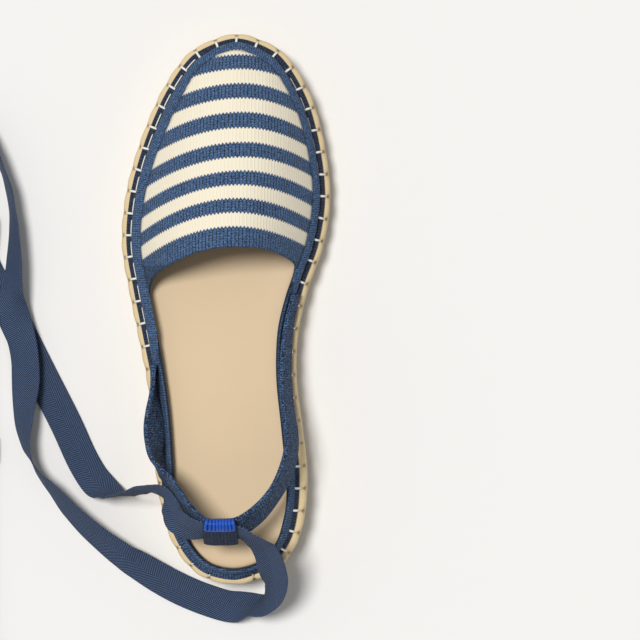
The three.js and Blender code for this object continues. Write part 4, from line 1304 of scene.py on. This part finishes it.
# place along the foot from the band's middle, and how far the outside swells there
BAND_ROWS = [
    (-6, -0.45), (-5.7, -0.1), (-5, 0.0), (-3, 0.08), (0, 0.1), (3, 0.08), (5, 0.0),
    (5.7, -0.1), (6.0, -0.45),
]


def make_band(name, node, x, y_range, material):
    """A stretch-knit keeper round the middle of a hank."""
    middle = sum(y_range) / 2
    mid_z, half_height = (BAND_HIGH + BAND_LOW) / 2, (BAND_HIGH - BAND_LOW) / 2
    outline = []
    for cx, cz, start in ((1, 1, 0), (-1, 1, 90), (-1, -1, 180), (1, -1, 270)):
        for a in np.radians(start + np.linspace(0, 90, 6)):
            outline.append((
                cx * (BAND_HALF - BAND_CORNER) + BAND_CORNER * math.cos(a),
                mid_z + cz * (half_height - BAND_CORNER) + BAND_CORNER * math.sin(a),
            ))
    ring = even(np.array(outline), BAND_RING, closed=True)
    inward = unit(np.array([0, mid_z]) - ring)
    rows = []
    for y, swell in BAND_ROWS + [(y, -BAND_WALL) for y in (5.7, 0, -5.7)]:
        place = ring - inward * swell
        lowest = place[:, 1] if swell == -BAND_WALL else np.maximum(place[:, 1], 0.12)
        rows.append(np.column_stack([x + place[:, 0], np.full(BAND_RING, middle + y), lowest]))
    grid = np.array(rows)
    faces = grid_faces(len(grid), BAND_RING, wrap_rows=True)
    around = np.tile(np.arange(BAND_RING) * 1.0, (len(grid), 1))
    across = np.repeat(np.arange(len(grid))[:, None] * 1.4, BAND_RING, axis=1)
    uv = np.stack([around, across], axis=-1).reshape(-1, 2)
    band = make_mesh(name, grid.reshape(-1, 3), faces, material, uv=uv)
    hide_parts(node)
    return band


# ---------------------------------------------------------------- stage, light and camera


FLOOR_HALF, FLOOR_DROP = 6.0, 0.0002
SKY_COLOUR, SKY_STRENGTH = (0.965, 0.985, 1.0, 1), 0.32
KEY_ENERGY, KEY_ANGLE, KEY_COLOUR = 2.65, 16, (1.0, 0.985, 0.96)
KEY_TILT = (-9, -13, 0)


def make_stage():
    mesh = bpy.data.meshes.new("floor")
    corners = [(x * FLOOR_HALF, y * FLOOR_HALF, -FLOOR_DROP)
               for x, y in ((-1, -1), (1, -1), (1, 1), (-1, 1))]
    mesh.from_pydata(corners, [], [(0, 1, 2, 3)])
    floor = bpy.data.objects.new("floor", mesh)
    mesh.materials.append(floor_material())
    bpy.context.scene.collection.objects.link(floor)

    world = bpy.data.worlds.new("studio")
    world.use_nodes = True
    world.node_tree.nodes["Background"].inputs[0].default_value = SKY_COLOUR
    world.node_tree.nodes["Background"].inputs[1].default_value = SKY_STRENGTH
    bpy.context.scene.world = world

    sun = bpy.data.lights.new("key", "SUN")
    sun.energy = KEY_ENERGY
    sun.angle = math.radians(KEY_ANGLE)
    sun.color = KEY_COLOUR
    key = bpy.data.objects.new("key", sun)
    key.rotation_euler = [math.radians(angle) for angle in KEY_TILT]
    bpy.context.scene.collection.objects.link(key)
    bpy.context.scene.view_settings.view_transform = "Standard"


def make_camera():
    """Straight above the shoe, with the shoe left of the picture's middle."""
    data = bpy.data.cameras.new("camera")
    data.sensor_width = 36
    data.lens = 177.8
    data.shift_x = -0.0755
    data.shift_y = -0.0108
    data.clip_end = 20
    camera = bpy.data.objects.new("camera", data)
    camera.location = (0.067, -0.0019, 1.5)
    bpy.context.scene.collection.objects.link(camera)
    bpy.context.scene.camera = camera


make_camera()
ribbon = ribbon_material()
band_knit = navy_material("band_knit", 1.3, 1.3)
TIES = (
    ("outer", OUTER_ROUTE, OUTER_HANK_X, OUTER_HANK_Y, hank_rows_outer()),
    ("inner", INNER_ROUTE, INNER_HANK_X, INNER_HANK_Y, hank_rows_inner()),
)
bands = [
    make_band(f"hank_band_{side}", f"band_{side}", x, y_range, band_knit)
    for side, _, x, y_range, _ in TIES
]
for (side, route, _, _, rows), band in zip(TIES, bands):
    make_tie(f"ribbon_tie_{side}", f"tie_{side}", f"hank_{side}", band, route, rows, ribbon)
make_sole()
make_footbed()
make_upper()
make_rand()
make_piping()
make_strap()
make_keeper()
make_stitches()
make_stage()
